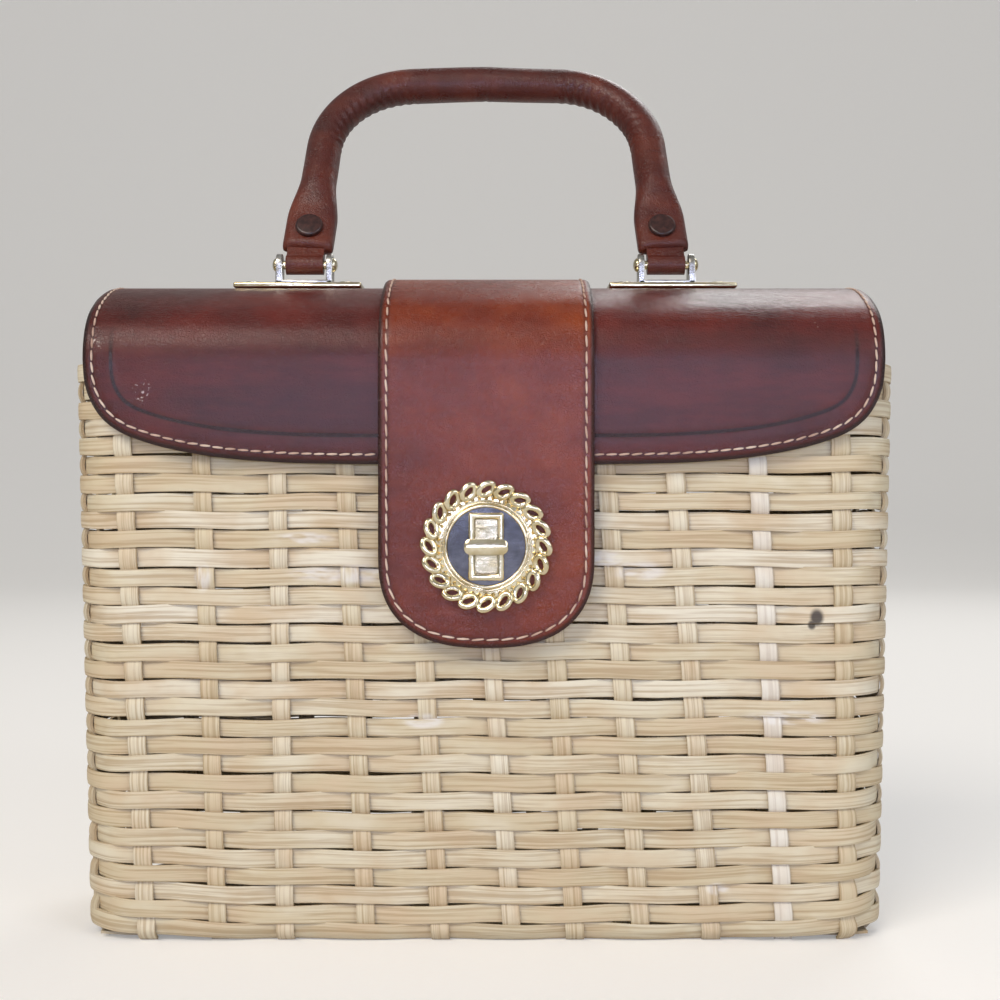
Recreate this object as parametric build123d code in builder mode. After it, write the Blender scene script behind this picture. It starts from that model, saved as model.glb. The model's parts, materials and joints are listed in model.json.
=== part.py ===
"""Woven flat reed box handbag with a domed leather lid, an arch handle and a turn lock.

Millimetres, +Z up. The bag stands on its woven base at Z = 0, its front looks along -Y,
and the origin is the middle of the base. The handle leans back as it rests.
"""

import os
from math import atan2, cos, degrees, pi, radians, sin, sqrt

from build123d import *

os.makedirs("parts", exist_ok=True)

# Basket
basket_base_width = 272.0
basket_rim_width = 281.0
basket_depth = 90.0
basket_height = 194.0
corner_radius = 20.0
corner_flats = 2
wall = 3.0
row_count = 31
ridge = 0.9
stake_count = 30
stake_width = 6.3
stake_proud = 0.8
stake_seat = 1.8
stake_spine = 0.6
foot_inset = 4.0
foot_share = 0.4
stake_foot_inset = 2.4
base_thickness = 3.5
slit_width = 1.6
slit_height = 4.0
slit_rows = (6, 14, 10, 18)
slit_row_step = 9
hoop_thickness = 4.0
hoop_height = 14.0

# Lid
seat_gap = 0.3
lid_end_inset = 7.5
lid_overhang = 4.7
lid_rise = 29.7
shoulder_radius = 22.0
leather = 1.5
shell = 2.5
end_leather = 1.2
lining = 0.6
frame_width = 8.0
frame_height = 6.0
flap_drop_centre = 34.8
flap_drop_side = 29.8
flap_corner_radius = 21.0
flap_dip_radius = 500.0
flap_thickness = 2.5
flap_backing = 1.0
stiffener_thickness = 1.0
stiffener_margin = 9.0

# Tab and lock
lock_x = 0.8
tab_width = 72.0
tab_drop = 95.3
tab_corner_radius = 25.0
tab_leather = 1.8
tab_backing = 1.2
lock_drop = 61.8
medallion_diameter = 43.0
medallion_thickness = 1.3
link_count = 20
link_circle_radius = 19.2
link_length = 6.4
link_width = 3.6
link_height = 1.2
link_tilt = 60.0
ring_outer_radius = 14.0
ring_height = 0.9
field_radius = 12.7
field_depth = 0.7
slot_width = 8.2
slot_length = 18.7
collar_wall = 1.75
collar_height = 2.4
collar_bevel = 0.5
neck_wall = 0.8
back_plate_width = 22.0
back_plate_length = 32.0
back_plate_thickness = 0.8
lock_plate_width = 20.0
lock_plate_length = 30.0
lock_plate_thickness = 1.7
boss_gap = 0.5
boss_height = 3.8
stem_diameter = 4.0
stem_gap = 0.3
knob_length = 14.3
knob_width = 5.1
knob_thickness = 3.6
knob_bevel = 1.53
knob_gap = 0.4
washer_diameter = 9.0
washer_thickness = 0.8
washer_gap = 0.4
lock_backing = 1.0
lock_rivet_diameter = 2.5
lock_rivet_spacing = 24.0
lock_rivet_head = 5.0
rivet_head_height = 0.8

# Handle
handle_spacing = 131.0
handle_pin_rise = 9.0
handle_lean = 30.0
handle_diameter = 13.2
handle_core_diameter = 7.0
handle_height = 90.3
handle_shoulder_half = 59.8
handle_shoulder_height = 88.0
handle_bend_radius = 29.0
handle_crown_radius = 200.0
end_tab_width = 18.5
end_tab_thickness = 7.2
end_tab_start = 7.0
end_tab_top = 22.0
end_tab_edge = 3.24
flare_top = 38.0
loop_width = 13.5
loop_leather = 1.6
loop_top = 24.0
handle_pin_diameter = 3.2
pin_gap = 0.3
handle_rivet_height = 15.0
handle_rivet_cap = 10.0
handle_rivet_dome = 1.7
handle_rivet_shank = 3.0
handle_rivet_slope = 30.0

# Handle plates and brackets
plate_length = 46.0
plate_width = 14.0
plate_thickness = 2.0
plate_bevel = 0.9
plate_outset = 2.0
bracket_base = 1.0
ear_thickness = 2.2
ear_radius = 4.0
ear_gap = 16.0
pin_head_diameter = 5.0
pin_head_height = 1.6
pin_head_slope = 25.0
plate_rivet_spacing = 34.0
plate_rivet_diameter = 3.0
plate_rivet_head = 5.2
reinforcement = 1.2

# Hinges
hinge_spacing = 160.0
hinge_width = 20.0
hinge_leaf = 1.0
hinge_barrel_radius = 2.1
hinge_barrel_gap = 0.4
hinge_pin_diameter = 2.0
hinge_pin_gap = 0.15
hinge_knuckle_gap = 0.3
hinge_leaf_drop = 18.0
hinge_leaf_bend = 5.0
hinge_pin_proud = 0.6
hinge_lid_leaf_start = 10.0
hinge_lid_leaf_angle = 36.0
hinge_rivet_diameter = 2.0
hinge_rivet_head = 3.6
hinge_rivet_spacing = 12.0
hinge_rivet_rise = 3.0
hinge_lid_rivet_angle = 28.0

# Clearance between pieces that seat on each other
fit_gap = 0.05

# Sizes that follow
pitch = basket_height / row_count
half_depth = basket_depth / 2
stake_front = half_depth + stake_proud
lid_z = basket_height + seat_gap
lid_length = basket_rim_width - 2 * lid_end_inset
lid_half_span = half_depth + lid_overhang
crown_radius = (
    (lid_half_span - shoulder_radius) ** 2 + lid_rise**2 - shoulder_radius**2
) / (2 * (lid_rise - shoulder_radius))
crown_centre_z = lid_z + lid_rise - crown_radius
shoulder_y = lid_half_span - shoulder_radius
tangent_angle = atan2(shoulder_y, lid_z - crown_centre_z)
crown_z = lid_z + lid_rise
flap_front = -lid_half_span
flap_back = flap_front + flap_thickness
flap_backing_back = flap_back + flap_backing
tab_thickness = tab_leather + tab_backing
tab_front = -lid_half_span - tab_thickness
medallion_front = tab_front - medallion_thickness
collar_front = medallion_front - collar_height
lock_plate_front = -stake_front - lock_plate_thickness
knob_back = collar_front - knob_gap
inner_wall_y = half_depth - wall
lock_backing_inner = inner_wall_y - lock_backing
plate_top = crown_z + plate_thickness
pin_z = crown_z + handle_pin_rise
half_pins = handle_spacing / 2
tab_bottom_z = lid_z - tab_drop
lock_z = lid_z - lock_drop
cut_reach = 10.0
bore_margin = 1.0


def row_width(height):
    """Width of the basket at a height: it widens evenly from base to rim."""
    share = height / basket_height
    return basket_base_width + (basket_rim_width - basket_base_width) * share


def plan_outline(width, depth, radius):
    """Plan of the wall: a rectangle whose corners turn in a few flats along an arc."""
    points = []
    for corner, (x_side, y_side) in enumerate(((1, 1), (-1, 1), (-1, -1), (1, -1))):
        for step in range(corner_flats + 1):
            turn = radians(90 * (corner + step / corner_flats))
            points.append((
                x_side * (width / 2 - radius) + radius * cos(turn),
                y_side * (depth / 2 - radius) + radius * sin(turn),
            ))
    return points


def inner_outline(height, inset):
    """Plan of the inner face of the wall at a height, less an inset."""
    shrink = wall + inset
    return plan_outline(row_width(height) - 2 * shrink, basket_depth - 2 * shrink, corner_radius - shrink)


def perimeter_length():
    """Length once round the rim, where the stakes are spaced evenly."""
    straights = 2 * (basket_rim_width - 2 * corner_radius) + 2 * (basket_depth - 2 * corner_radius)
    return straights + 2 * pi * corner_radius


def wall_place(distance):
    """Point on the rim and outward direction, measured round from the middle of the front."""
    half_front = basket_rim_width / 2 - corner_radius
    side = basket_depth - 2 * corner_radius
    arc = corner_radius * pi / 2
    total = perimeter_length()
    distance = distance % total
    flip = distance > total / 2
    if flip:
        distance = total - distance
    if distance <= half_front:
        point, angle = (distance, -half_depth), -90.0
    elif distance <= half_front + arc:
        turn = (distance - half_front) / corner_radius
        point = (
            half_front + corner_radius * sin(turn),
            -half_depth + corner_radius - corner_radius * cos(turn),
        )
        angle = -90.0 + degrees(turn)
    elif distance <= half_front + arc + side:
        along = distance - half_front - arc
        point, angle = (half_front + corner_radius, -side / 2 + along), 0.0
    elif distance <= half_front + 2 * arc + side:
        turn = (distance - half_front - arc - side) / corner_radius
        point = (
            half_front + corner_radius * cos(turn),
            half_depth - corner_radius + corner_radius * sin(turn),
        )
        angle = degrees(turn)
    else:
        point, angle = (total / 2 - distance, half_depth), 90.0
    if flip:
        point, angle = (-point[0], point[1]), 180.0 - angle
    return point, angle


def taper_at(height, angle):
    """How far the wall lies inside the rim at a height, along its outward direction."""
    narrower = (basket_rim_width - row_width(height)) / 2
    return narrower * abs(cos(radians(angle)))


def stake_plane(distance):
    """Plane that stands on the wall: local X is outwards, local Y is up."""
    point, angle = wall_place(distance)
    outward = (cos(radians(angle)), sin(radians(angle)), 0)
    sideways = (outward[1], -outward[0], 0)
    return Plane(origin=(point[0], point[1], 0), x_dir=outward, z_dir=sideways), angle


def arch_points(inset):
    """Lid arch from the front foot over the crown to the back foot, inset from its skin."""
    small = shoulder_radius - inset
    large = crown_radius - inset
    half_turn = (pi / 2 + tangent_angle) / 2
    right = [
        (shoulder_y + small, lid_z),
        (shoulder_y + small * sin(half_turn), lid_z + small * cos(half_turn)),
        (large * sin(tangent_angle), crown_centre_z + large * cos(tangent_angle)),
    ]
    left = [(-y, z) for y, z in right]
    return left + [(0, crown_centre_z + large)] + right[::-1]


def arch_lines(inset):
    """The three arcs of the arch as edges of the current line."""
    p = arch_points(inset)
    ThreePointArc(p[0], p[1], p[2])
    ThreePointArc(p[2], p[3], p[4])
    ThreePointArc(p[4], p[5], p[6])
    return p[0], p[6]


def arch_band(outer, inner, half_length, centre_x=0.0):
    """A curved sheet between two insets of the arch, as long as twice half_length."""
    with BuildSketch(Plane.YZ.offset(centre_x)) as band:
        with BuildLine():
            outer_front, outer_back = arch_lines(outer)
            inner_front, inner_back = arch_lines(inner)
            Line(outer_front, inner_front)
            Line(outer_back, inner_back)
        make_face()
    extrude(band.sketch, amount=half_length, both=True)


def arch_wall(inset, x_from, x_to, mode=Mode.ADD):
    """A flat panel that fills the arch at an inset, between two places along X."""
    with BuildSketch(Plane.YZ.offset(x_from)) as panel:
        with BuildLine():
            front, back = arch_lines(inset)
            Line(front, back)
        make_face()
    extrude(panel.sketch, amount=x_to - x_from, mode=mode)


def front_plane(y):
    """Plane that faces the front at a depth y: local X is X, local Y is Z."""
    return Plane(origin=(0, y, 0), x_dir=(1, 0, 0), z_dir=(0, -1, 0))


def front_bore(diameter, y_from, y_to, places):
    """Round holes along Y between two depths, at (x, z) places."""
    with BuildSketch(front_plane(y_to)) as bore_circles:
        with Locations(*places):
            Circle(diameter / 2)
    extrude(bore_circles.sketch, amount=y_to - y_from, mode=Mode.SUBTRACT)


def front_pins(diameter, y_from, y_to, places):
    """Round pins along Y between two depths, at (x, z) places."""
    with BuildSketch(front_plane(y_to)) as pin_circles:
        with Locations(*places):
            Circle(diameter / 2)
    extrude(pin_circles.sketch, amount=y_to - y_from)


def front_window(width, length):
    """The rectangular opening of the lock through a front piece."""
    with BuildSketch(front_plane(flap_backing_back)) as window:
        with Locations((lock_x, lock_z)):
            Rectangle(width, length)
    extrude(window.sketch, amount=lid_half_span, mode=Mode.SUBTRACT)


def lid_bore(diameter, places):
    """Round upright holes through the crown of the lid, at (x, y) places."""
    with BuildSketch(Plane.XY.offset(crown_z - lid_rise / 2)) as bore_circles:
        with Locations(*places):
            Circle(diameter / 2)
    extrude(bore_circles.sketch, amount=lid_rise, mode=Mode.SUBTRACT)


def flap_plate(y_front, y_back, margin, half_length, mode=Mode.ADD):
    """The front flap between two depths: its lower edge dips to the middle and its corners are round."""
    half = half_length - margin
    side_z = lid_z - flap_drop_side + margin
    middle_z = lid_z - flap_drop_centre + margin
    turn = flap_corner_radius - margin
    with BuildSketch(front_plane(y_back)) as flap:
        with BuildLine():
            FilletPolyline(
                (-half, lid_z), (-half, side_z), (0, middle_z), (half, side_z), (half, lid_z),
                radius=[turn, flap_dip_radius, turn],
            )
            Line((half, lid_z), (-half, lid_z))
        make_face()
    extrude(flap.sketch, amount=y_back - y_front, mode=mode)


def tab_front_plate(y_front, y_back):
    """The part of the tab that hangs down the front, with round lower corners."""
    left = lock_x - tab_width / 2
    right = lock_x + tab_width / 2
    with BuildSketch(front_plane(y_back)) as tab:
        with BuildLine():
            FilletPolyline(
                (left, lid_z), (left, tab_bottom_z), (right, tab_bottom_z), (right, lid_z),
                radius=tab_corner_radius,
            )
            Line((right, lid_z), (left, lid_z))
        make_face()
    extrude(tab.sketch, amount=y_back - y_front)


def leg_x(height):
    """Half the distance between the legs of the handle at a height above its pins."""
    return half_pins + (handle_shoulder_half - half_pins) * height / handle_shoulder_height


def leg_axis(side):
    """Direction of a leg of the handle, from its end towards the arch."""
    inwards = side * (handle_shoulder_half - half_pins)
    return handle_plane.x_dir * inwards + handle_plane.y_dir * handle_shoulder_height


def leg_plane(side, height):
    """Plane across a leg of the handle at a height above its pins."""
    return Plane(
        origin=handle_plane.from_local_coords(Vector(side * leg_x(height), height)),
        x_dir=handle_plane.z_dir,
        z_dir=leg_axis(side),
    )


def loop_plane(side):
    """Plane across a pin: local X is the thickness of the handle, local Y runs up its leg."""
    return Plane(origin=(side * half_pins, 0, pin_z), x_dir=handle_plane.z_dir, z_dir=(-1, 0, 0))


def rivet_plane(side):
    """Plane of the arch, centred on the rivet through a flattened end."""
    place = Vector(side * leg_x(handle_rivet_height), handle_rivet_height)
    return Plane(
        origin=handle_plane.from_local_coords(place), x_dir=handle_plane.x_dir, z_dir=handle_plane.z_dir
    )


def shoulder_point(radius, angle):
    """A point over the back shoulder of the lid, by radius and angle above level."""
    return (shoulder_y + radius * cos(radians(angle)), lid_z + radius * sin(radians(angle)))


def lid_rivets(diameter, radius_from, radius_to, centre_x, mode=Mode.ADD):
    """Two short pins that point out of the back shoulder of the lid."""
    angle = radians(hinge_lid_rivet_angle)
    start = shoulder_point(radius_from, hinge_lid_rivet_angle)
    outward = (0, cos(angle), sin(angle))
    plane = Plane(origin=(centre_x, start[0], start[1]), x_dir=(1, 0, 0), z_dir=outward)
    with BuildSketch(plane) as circles:
        with GridLocations(hinge_rivet_spacing, 1, 2, 1):
            Circle(diameter / 2)
    extrude(circles.sketch, amount=radius_to - radius_from, mode=mode)


def save(piece, name):
    """Label a finished piece and write it."""
    piece.part.label = name
    export_step(piece.part, "parts/" + name + ".step")


# Plane of the handle: local X is X, local Y runs up its legs, local Z faces the front
handle_plane = Plane(
    origin=(0, 0, pin_z),
    x_dir=(1, 0, 0),
    z_dir=(0, -cos(radians(handle_lean)), sin(radians(handle_lean))),
)

# Places of the fasteners
lock_rivet_places = [
    (lock_x, lock_z - lock_rivet_spacing / 2),
    (lock_x, lock_z + lock_rivet_spacing / 2),
]
hinge_rivet_z = basket_height - hoop_height + hinge_rivet_rise
hinge_sides = (("left", -1), ("right", 1))
basket_hinge_rivet_places = [
    (side * hinge_spacing / 2 + step * hinge_rivet_spacing / 2, hinge_rivet_z)
    for _, side in hinge_sides
    for step in (-1, 1)
]
plate_centre = half_pins + plate_outset
plate_rivet_places = [
    (side * plate_centre + step * plate_rivet_spacing / 2, 0)
    for _, side in hinge_sides
    for step in (-1, 1)
]

# Woven wall: one ridge for each row, stakes that rise over every other row, and slits
ridge_taper = degrees(atan2(ridge, pitch / 2))
rows = []
for row in range(row_count):
    middle = (row + 0.5) * pitch
    inset = foot_inset if row == 0 else 0.0
    with BuildPart() as row_ring:
        with BuildSketch(Plane.XY.offset(middle)):
            with BuildLine():
                Polyline(*plan_outline(row_width(middle), basket_depth, corner_radius), close=True)
            make_face()
        extrude(amount=pitch / 2, both=True, taper=ridge_taper)
        if row == 0:
            lower = row_ring.faces().sort_by(Axis.Z)[0]
            chamfer(lower.edges(), length=foot_inset, length2=pitch * foot_share, reference=lower)
    rows.append(row_ring.part)

bore_reach = wall + hoop_thickness + stake_proud + bore_margin
bores = []
for diameter, depth, places in (
    (stem_diameter + 2 * stem_gap, -half_depth, [(lock_x, lock_z)]),
    (lock_rivet_diameter, -half_depth, lock_rivet_places),
    (hinge_rivet_diameter, half_depth, basket_hinge_rivet_places),
):
    with BuildPart() as bore:
        with BuildSketch(front_plane(depth + bore_reach)):
            with Locations(*places):
                Circle(diameter / 2)
        extrude(amount=2 * bore_reach)
    bores.append(bore.part)

stakes = []
for number in range(stake_count):
    plane, angle = stake_plane(number * perimeter_length() / stake_count)
    hidden = -stake_seat
    outline = []
    for row in range(row_count):
        if (row + number) % 2 == 0:
            low = row * pitch
            high = low + pitch
            foot = stake_foot_inset if row == 0 else 0.0
            outline.append((hidden - taper_at(low, angle), low))
            outline.append((stake_proud - foot - taper_at(low, angle), low))
            outline.append((stake_proud - taper_at(high, angle), high))
            outline.append((hidden - taper_at(high, angle), high))
    top, bottom = outline[-1][1], outline[0][1]
    outline.append((hidden - stake_spine - taper_at(top, angle), top))
    outline.append((hidden - stake_spine - taper_at(bottom, angle), bottom))
    with BuildPart() as stake:
        with BuildSketch(plane):
            with BuildLine():
                Polyline(*outline, close=True)
            make_face()
        extrude(amount=stake_width / 2, both=True)
        add(bores, mode=Mode.SUBTRACT)
    stakes.append(stake.part)

slits = []
for number in range(stake_count):
    row = slit_rows[number % len(slit_rows)]
    for step in (0, slit_row_step):
        side = 1 if step else -1
        offset = side * (stake_width / 2 + slit_width)
        plane, angle = stake_plane(number * perimeter_length() / stake_count + offset)
        with BuildPart() as slit:
            with BuildSketch(plane):
                with Locations((0, (row + step) * pitch)):
                    Rectangle(4 * wall, slit_height)
            extrude(amount=slit_width / 2, both=True)
        slits.append(slit.part)

with BuildPart() as basket_wall:
    add(rows)
    for height in (0.0, basket_height):
        with BuildSketch(Plane.XY.offset(height)):
            with BuildLine():
                Polyline(*inner_outline(height, 0.0), close=True)
            make_face()
    loft(ruled=True, mode=Mode.SUBTRACT)
    add(slits + bores, mode=Mode.SUBTRACT)
    add(stakes)
save(basket_wall, "basket_wall")

# Woven base, inside the foot of the wall
with BuildPart() as basket_base:
    for height in (0.0, base_thickness):
        with BuildSketch(Plane.XY.offset(height)):
            with BuildLine():
                Polyline(*inner_outline(height, fit_gap), close=True)
            make_face()
    loft(ruled=True)
save(basket_base, "basket_base")

# Rim hoop inside the top of the wall
with BuildPart() as rim_hoop:
    for height in (basket_height - hoop_height, basket_height):
        with BuildSketch(Plane.XY.offset(height)):
            with BuildLine():
                Polyline(*inner_outline(height, fit_gap), close=True)
            make_face()
    loft(ruled=True)
    with BuildSketch(Plane.XY.offset(basket_height - hoop_height)):
        with BuildLine():
            Polyline(*inner_outline(basket_height - hoop_height, hoop_thickness), close=True)
        make_face()
    extrude(amount=hoop_height, mode=Mode.SUBTRACT)
    add(bores[2], mode=Mode.SUBTRACT)
save(rim_hoop, "rim_hoop")

# Lid: the stiff dome, its leather with the front flap, end leathers, frame and lining
half_lid = lid_length / 2
half_shell = half_lid - end_leather
with BuildPart() as lid_shell:
    arch_band(leather, leather + shell, half_shell)
    arch_wall(leather, -half_shell, -half_shell + shell)
    arch_wall(leather, half_shell - shell, half_shell)
    lid_bore(plate_rivet_diameter, plate_rivet_places)
    for _, side in hinge_sides:
        lid_rivets(hinge_rivet_diameter, 0.0, 2 * shoulder_radius, side * hinge_spacing / 2, Mode.SUBTRACT)
save(lid_shell, "lid_shell")

with BuildPart() as lid_leather:
    arch_band(0.0, leather, half_shell)
    flap_plate(flap_front, flap_back, 0.0, half_shell)
    flap_plate(flap_back - stiffener_thickness, flap_back, stiffener_margin, half_shell, Mode.SUBTRACT)
    lid_bore(plate_rivet_diameter, plate_rivet_places)
    for _, side in hinge_sides:
        lid_rivets(hinge_rivet_diameter, 0.0, 2 * shoulder_radius, side * hinge_spacing / 2, Mode.SUBTRACT)
save(lid_leather, "lid_leather")

with BuildPart() as flap_stiffener:
    flap_plate(flap_back - stiffener_thickness, flap_back, stiffener_margin, half_shell)
save(flap_stiffener, "flap_stiffener")

with BuildPart() as flap_lining:
    flap_plate(flap_back, flap_backing_back, 0.0, half_shell)
save(flap_lining, "flap_backing")

for side_name, side in hinge_sides:
    with BuildPart() as lid_end:
        if side < 0:
            arch_wall(0.0, -half_lid, -half_shell)
        else:
            arch_wall(0.0, half_shell, half_lid)
    save(lid_end, "lid_end_leather_" + side_name)

frame_half_depth = shoulder_y + sqrt((shoulder_radius - leather - shell) ** 2 - frame_height**2) - fit_gap
frame_half_length = half_shell - shell - fit_gap
with BuildPart() as lid_frame:
    with BuildSketch(Plane.XY.offset(lid_z)):
        Rectangle(2 * frame_half_length, 2 * frame_half_depth)
        Rectangle(2 * (frame_half_length - frame_width), 2 * (frame_half_depth - frame_width),
                  mode=Mode.SUBTRACT)
    extrude(amount=frame_height)
save(lid_frame, "lid_frame")

lining_base = lid_z + frame_height
with BuildPart() as lid_lining:
    arch_band(leather + shell, leather + shell + lining, half_shell - shell)
    arch_wall(leather + shell, -half_shell + shell, -half_shell + shell + lining)
    arch_wall(leather + shell, half_shell - shell - lining, half_shell - shell)
    lid_bore(plate_rivet_diameter, plate_rivet_places)
    for _, side in hinge_sides:
        lid_rivets(hinge_rivet_diameter, 0.0, 2 * shoulder_radius, side * hinge_spacing / 2, Mode.SUBTRACT)
    split(bisect_by=Plane.XY.offset(lining_base), keep=Keep.TOP)
save(lid_lining, "lid_lining")

# Tab: over the lid and down the front, two layers with the lock opening through both
neck_width = slot_width + 2 * neck_wall
neck_length = slot_length + 2 * neck_wall
tab_layers = (
    ("tab_leather", -tab_thickness, -tab_backing),
    ("tab_backing", -tab_backing, 0.0),
)
for name, outer, inner in tab_layers:
    with BuildPart() as layer:
        arch_band(outer, inner, tab_width / 2, lock_x)
        tab_front_plate(flap_front + outer, flap_front + inner)
        front_window(neck_width, neck_length)
    save(layer, name)

# Medallion: a disc with a ring of links, an inner ring and a sunk field
with BuildPart() as medallion:
    with BuildSketch(front_plane(tab_front)):
        with Locations((lock_x, lock_z)):
            Circle(medallion_diameter / 2 - link_width / 2)
    extrude(amount=medallion_thickness)
    with BuildSketch(front_plane(medallion_front)):
        with Locations((lock_x, lock_z)):
            Circle(field_radius)
    extrude(amount=-field_depth, mode=Mode.SUBTRACT)
    with BuildSketch(front_plane(medallion_front)):
        with Locations((lock_x, lock_z)):
            Circle(ring_outer_radius)
            Circle(field_radius, mode=Mode.SUBTRACT)
    extrude(amount=ring_height)
    with BuildSketch(front_plane(medallion_front - link_height)):
        with Locations((lock_x, lock_z)):
            with PolarLocations(link_circle_radius, link_count):
                SlotOverall(link_length, link_width, rotation=link_tilt)
    extrude(amount=-link_height - medallion_thickness)
    front_window(neck_width, neck_length)
save(medallion, "medallion")

# Slot collar: a raised frame with a neck through the medallion and the tab
tab_back = -lid_half_span
with BuildPart() as slot_collar:
    with BuildSketch(front_plane(medallion_front + field_depth)):
        with Locations((lock_x, lock_z)):
            Rectangle(slot_width + 2 * collar_wall, slot_length + 2 * collar_wall)
    extrude(amount=collar_height + field_depth)
    chamfer(slot_collar.faces().sort_by(Axis.Y)[0].edges(), length=collar_bevel)
    with BuildSketch(front_plane(tab_back + back_plate_thickness)):
        with Locations((lock_x, lock_z)):
            Rectangle(neck_width, neck_length)
    extrude(amount=tab_back + back_plate_thickness - medallion_front - field_depth)
    front_window(slot_width, slot_length)
save(slot_collar, "slot_collar")

with BuildPart() as medallion_back_plate:
    with BuildSketch(front_plane(tab_back + back_plate_thickness)):
        with Locations((lock_x, lock_z)):
            RectangleRounded(back_plate_width, back_plate_length, back_plate_width / 5)
    extrude(amount=back_plate_thickness)
    front_window(neck_width, neck_length)
save(medallion_back_plate, "medallion_back_plate")

# Lock on the basket: base plate with a boss that shows in the slot, rivets and backing
stem_bore = stem_diameter + 2 * stem_gap
with BuildPart() as lock_base_plate:
    with BuildSketch(front_plane(-stake_front)):
        with Locations((lock_x, lock_z)):
            RectangleRounded(lock_plate_width, lock_plate_length, lock_plate_width / 5)
    extrude(amount=lock_plate_thickness)
    with BuildSketch(front_plane(lock_plate_front)):
        with Locations((lock_x, lock_z)):
            Rectangle(slot_width - 2 * boss_gap, slot_length - 2 * boss_gap)
    extrude(amount=boss_height)
    front_bore(stem_bore, -stake_front - cut_reach, -stake_front, [(lock_x, lock_z)])
    front_bore(lock_rivet_diameter, -stake_front - cut_reach, -stake_front, lock_rivet_places)
save(lock_base_plate, "lock_base_plate")

with BuildPart() as lock_backing_plate:
    with BuildSketch(front_plane(-lock_backing_inner)):
        with Locations((lock_x, lock_z)):
            RectangleRounded(lock_plate_width, lock_plate_length, lock_plate_width / 5)
    extrude(amount=lock_backing)
    front_bore(stem_bore, -half_depth, -half_depth + cut_reach, [(lock_x, lock_z)])
    front_bore(lock_rivet_diameter, -half_depth, -half_depth + cut_reach, lock_rivet_places)
save(lock_backing_plate, "lock_backing_plate")

rivet_back = -lock_backing_inner + rivet_head_height
with BuildPart() as lock_rivets:
    front_pins(lock_rivet_diameter, lock_plate_front, -lock_backing_inner, lock_rivet_places)
    front_pins(lock_rivet_head, lock_plate_front - rivet_head_height, lock_plate_front, lock_rivet_places)
    front_pins(lock_rivet_head, -lock_backing_inner, rivet_back, lock_rivet_places)
save(lock_rivets, "lock_rivets")

# Turn knob with its stem, and the washer that holds it inside the basket
washer_front = -lock_backing_inner + washer_gap
with BuildPart() as turn_knob:
    with BuildSketch(front_plane(knob_back)):
        with Locations((lock_x, lock_z)):
            SlotOverall(knob_length, knob_width)
    extrude(amount=knob_thickness)
    knob_face = turn_knob.faces().sort_by(Axis.Y)[0]
    chamfer(knob_face.edges(), length=knob_bevel)
    front_pins(stem_diameter, knob_back, washer_front + washer_thickness, [(lock_x, lock_z)])
save(turn_knob, "turn_knob")

with BuildPart() as knob_washer:
    front_pins(washer_diameter, washer_front, washer_front + washer_thickness, [(lock_x, lock_z)])
    front_bore(stem_diameter, washer_front, washer_front + washer_thickness, [(lock_x, lock_z)])
save(knob_washer, "knob_washer")

# Handle: rolled leather on a core, with flattened ends, loops round the pins and rivets
handle_route = [
    (-leg_x(flare_top), flare_top),
    (-handle_shoulder_half, handle_shoulder_height),
    (0, handle_height),
    (handle_shoulder_half, handle_shoulder_height),
    (leg_x(flare_top), flare_top),
]


def handle_tube(diameter):
    """A round tube along the arch of the handle, from flare to flare."""
    bends = [handle_bend_radius, handle_crown_radius, handle_bend_radius]
    with BuildPart() as tube:
        with BuildLine(handle_plane) as route:
            FilletPolyline(*handle_route, radius=bends)
        with BuildSketch(Plane(origin=route.line @ 0, z_dir=route.line % 0)) as section:
            Circle(diameter / 2)
        sweep(section.sketch, path=route.line)
    return tube.part


with BuildPart() as handle_grip:
    add(handle_tube(handle_diameter))
    for side in (-1, 1):
        with BuildSketch(leg_plane(side, flare_top)):
            Circle(handle_diameter / 2)
        with BuildSketch(leg_plane(side, end_tab_top)):
            RectangleRounded(end_tab_thickness, end_tab_width, end_tab_edge)
        loft()
        with BuildSketch(leg_plane(side, end_tab_top)):
            RectangleRounded(end_tab_thickness, end_tab_width, end_tab_edge)
        extrude(amount=end_tab_start - end_tab_top)
    for side in (-1, 1):
        with BuildSketch(loop_plane(side)):
            Rectangle(2 * loop_leather, 2 * loop_top)
        extrude(amount=end_tab_width, both=True, mode=Mode.SUBTRACT)
        with BuildSketch(rivet_plane(side)):
            Circle(handle_rivet_shank / 2)
        extrude(amount=end_tab_thickness, both=True, mode=Mode.SUBTRACT)
    add(handle_tube(handle_core_diameter), mode=Mode.SUBTRACT)
save(handle_grip, "handle_grip")

with BuildPart() as handle_core:
    add(handle_tube(handle_core_diameter))
save(handle_core, "handle_core")

for side_name, side in hinge_sides:
    bore_radius = handle_pin_diameter / 2 + pin_gap
    with BuildPart() as loop_piece:
        with BuildSketch(loop_plane(side)):
            with Locations((0, loop_top / 2)):
                Rectangle(2 * loop_leather, loop_top)
            Circle(bore_radius + loop_leather)
            Circle(bore_radius, mode=Mode.SUBTRACT)
        extrude(amount=loop_width / 2, both=True)
        with BuildSketch(rivet_plane(side)):
            Circle(handle_rivet_shank / 2)
        extrude(amount=end_tab_thickness, both=True, mode=Mode.SUBTRACT)
    save(loop_piece, "handle_loop_" + side_name)

    with BuildPart() as handle_rivet:
        with BuildSketch(rivet_plane(side)):
            Circle(handle_rivet_shank / 2)
        extrude(amount=end_tab_thickness / 2, both=True)
        for face_side in (-1, 1):
            with BuildSketch(rivet_plane(side).offset(face_side * end_tab_thickness / 2)):
                Circle(handle_rivet_cap / 2)
            extrude(amount=face_side * handle_rivet_dome, taper=handle_rivet_slope)
    save(handle_rivet, "handle_rivet_" + side_name)

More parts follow.
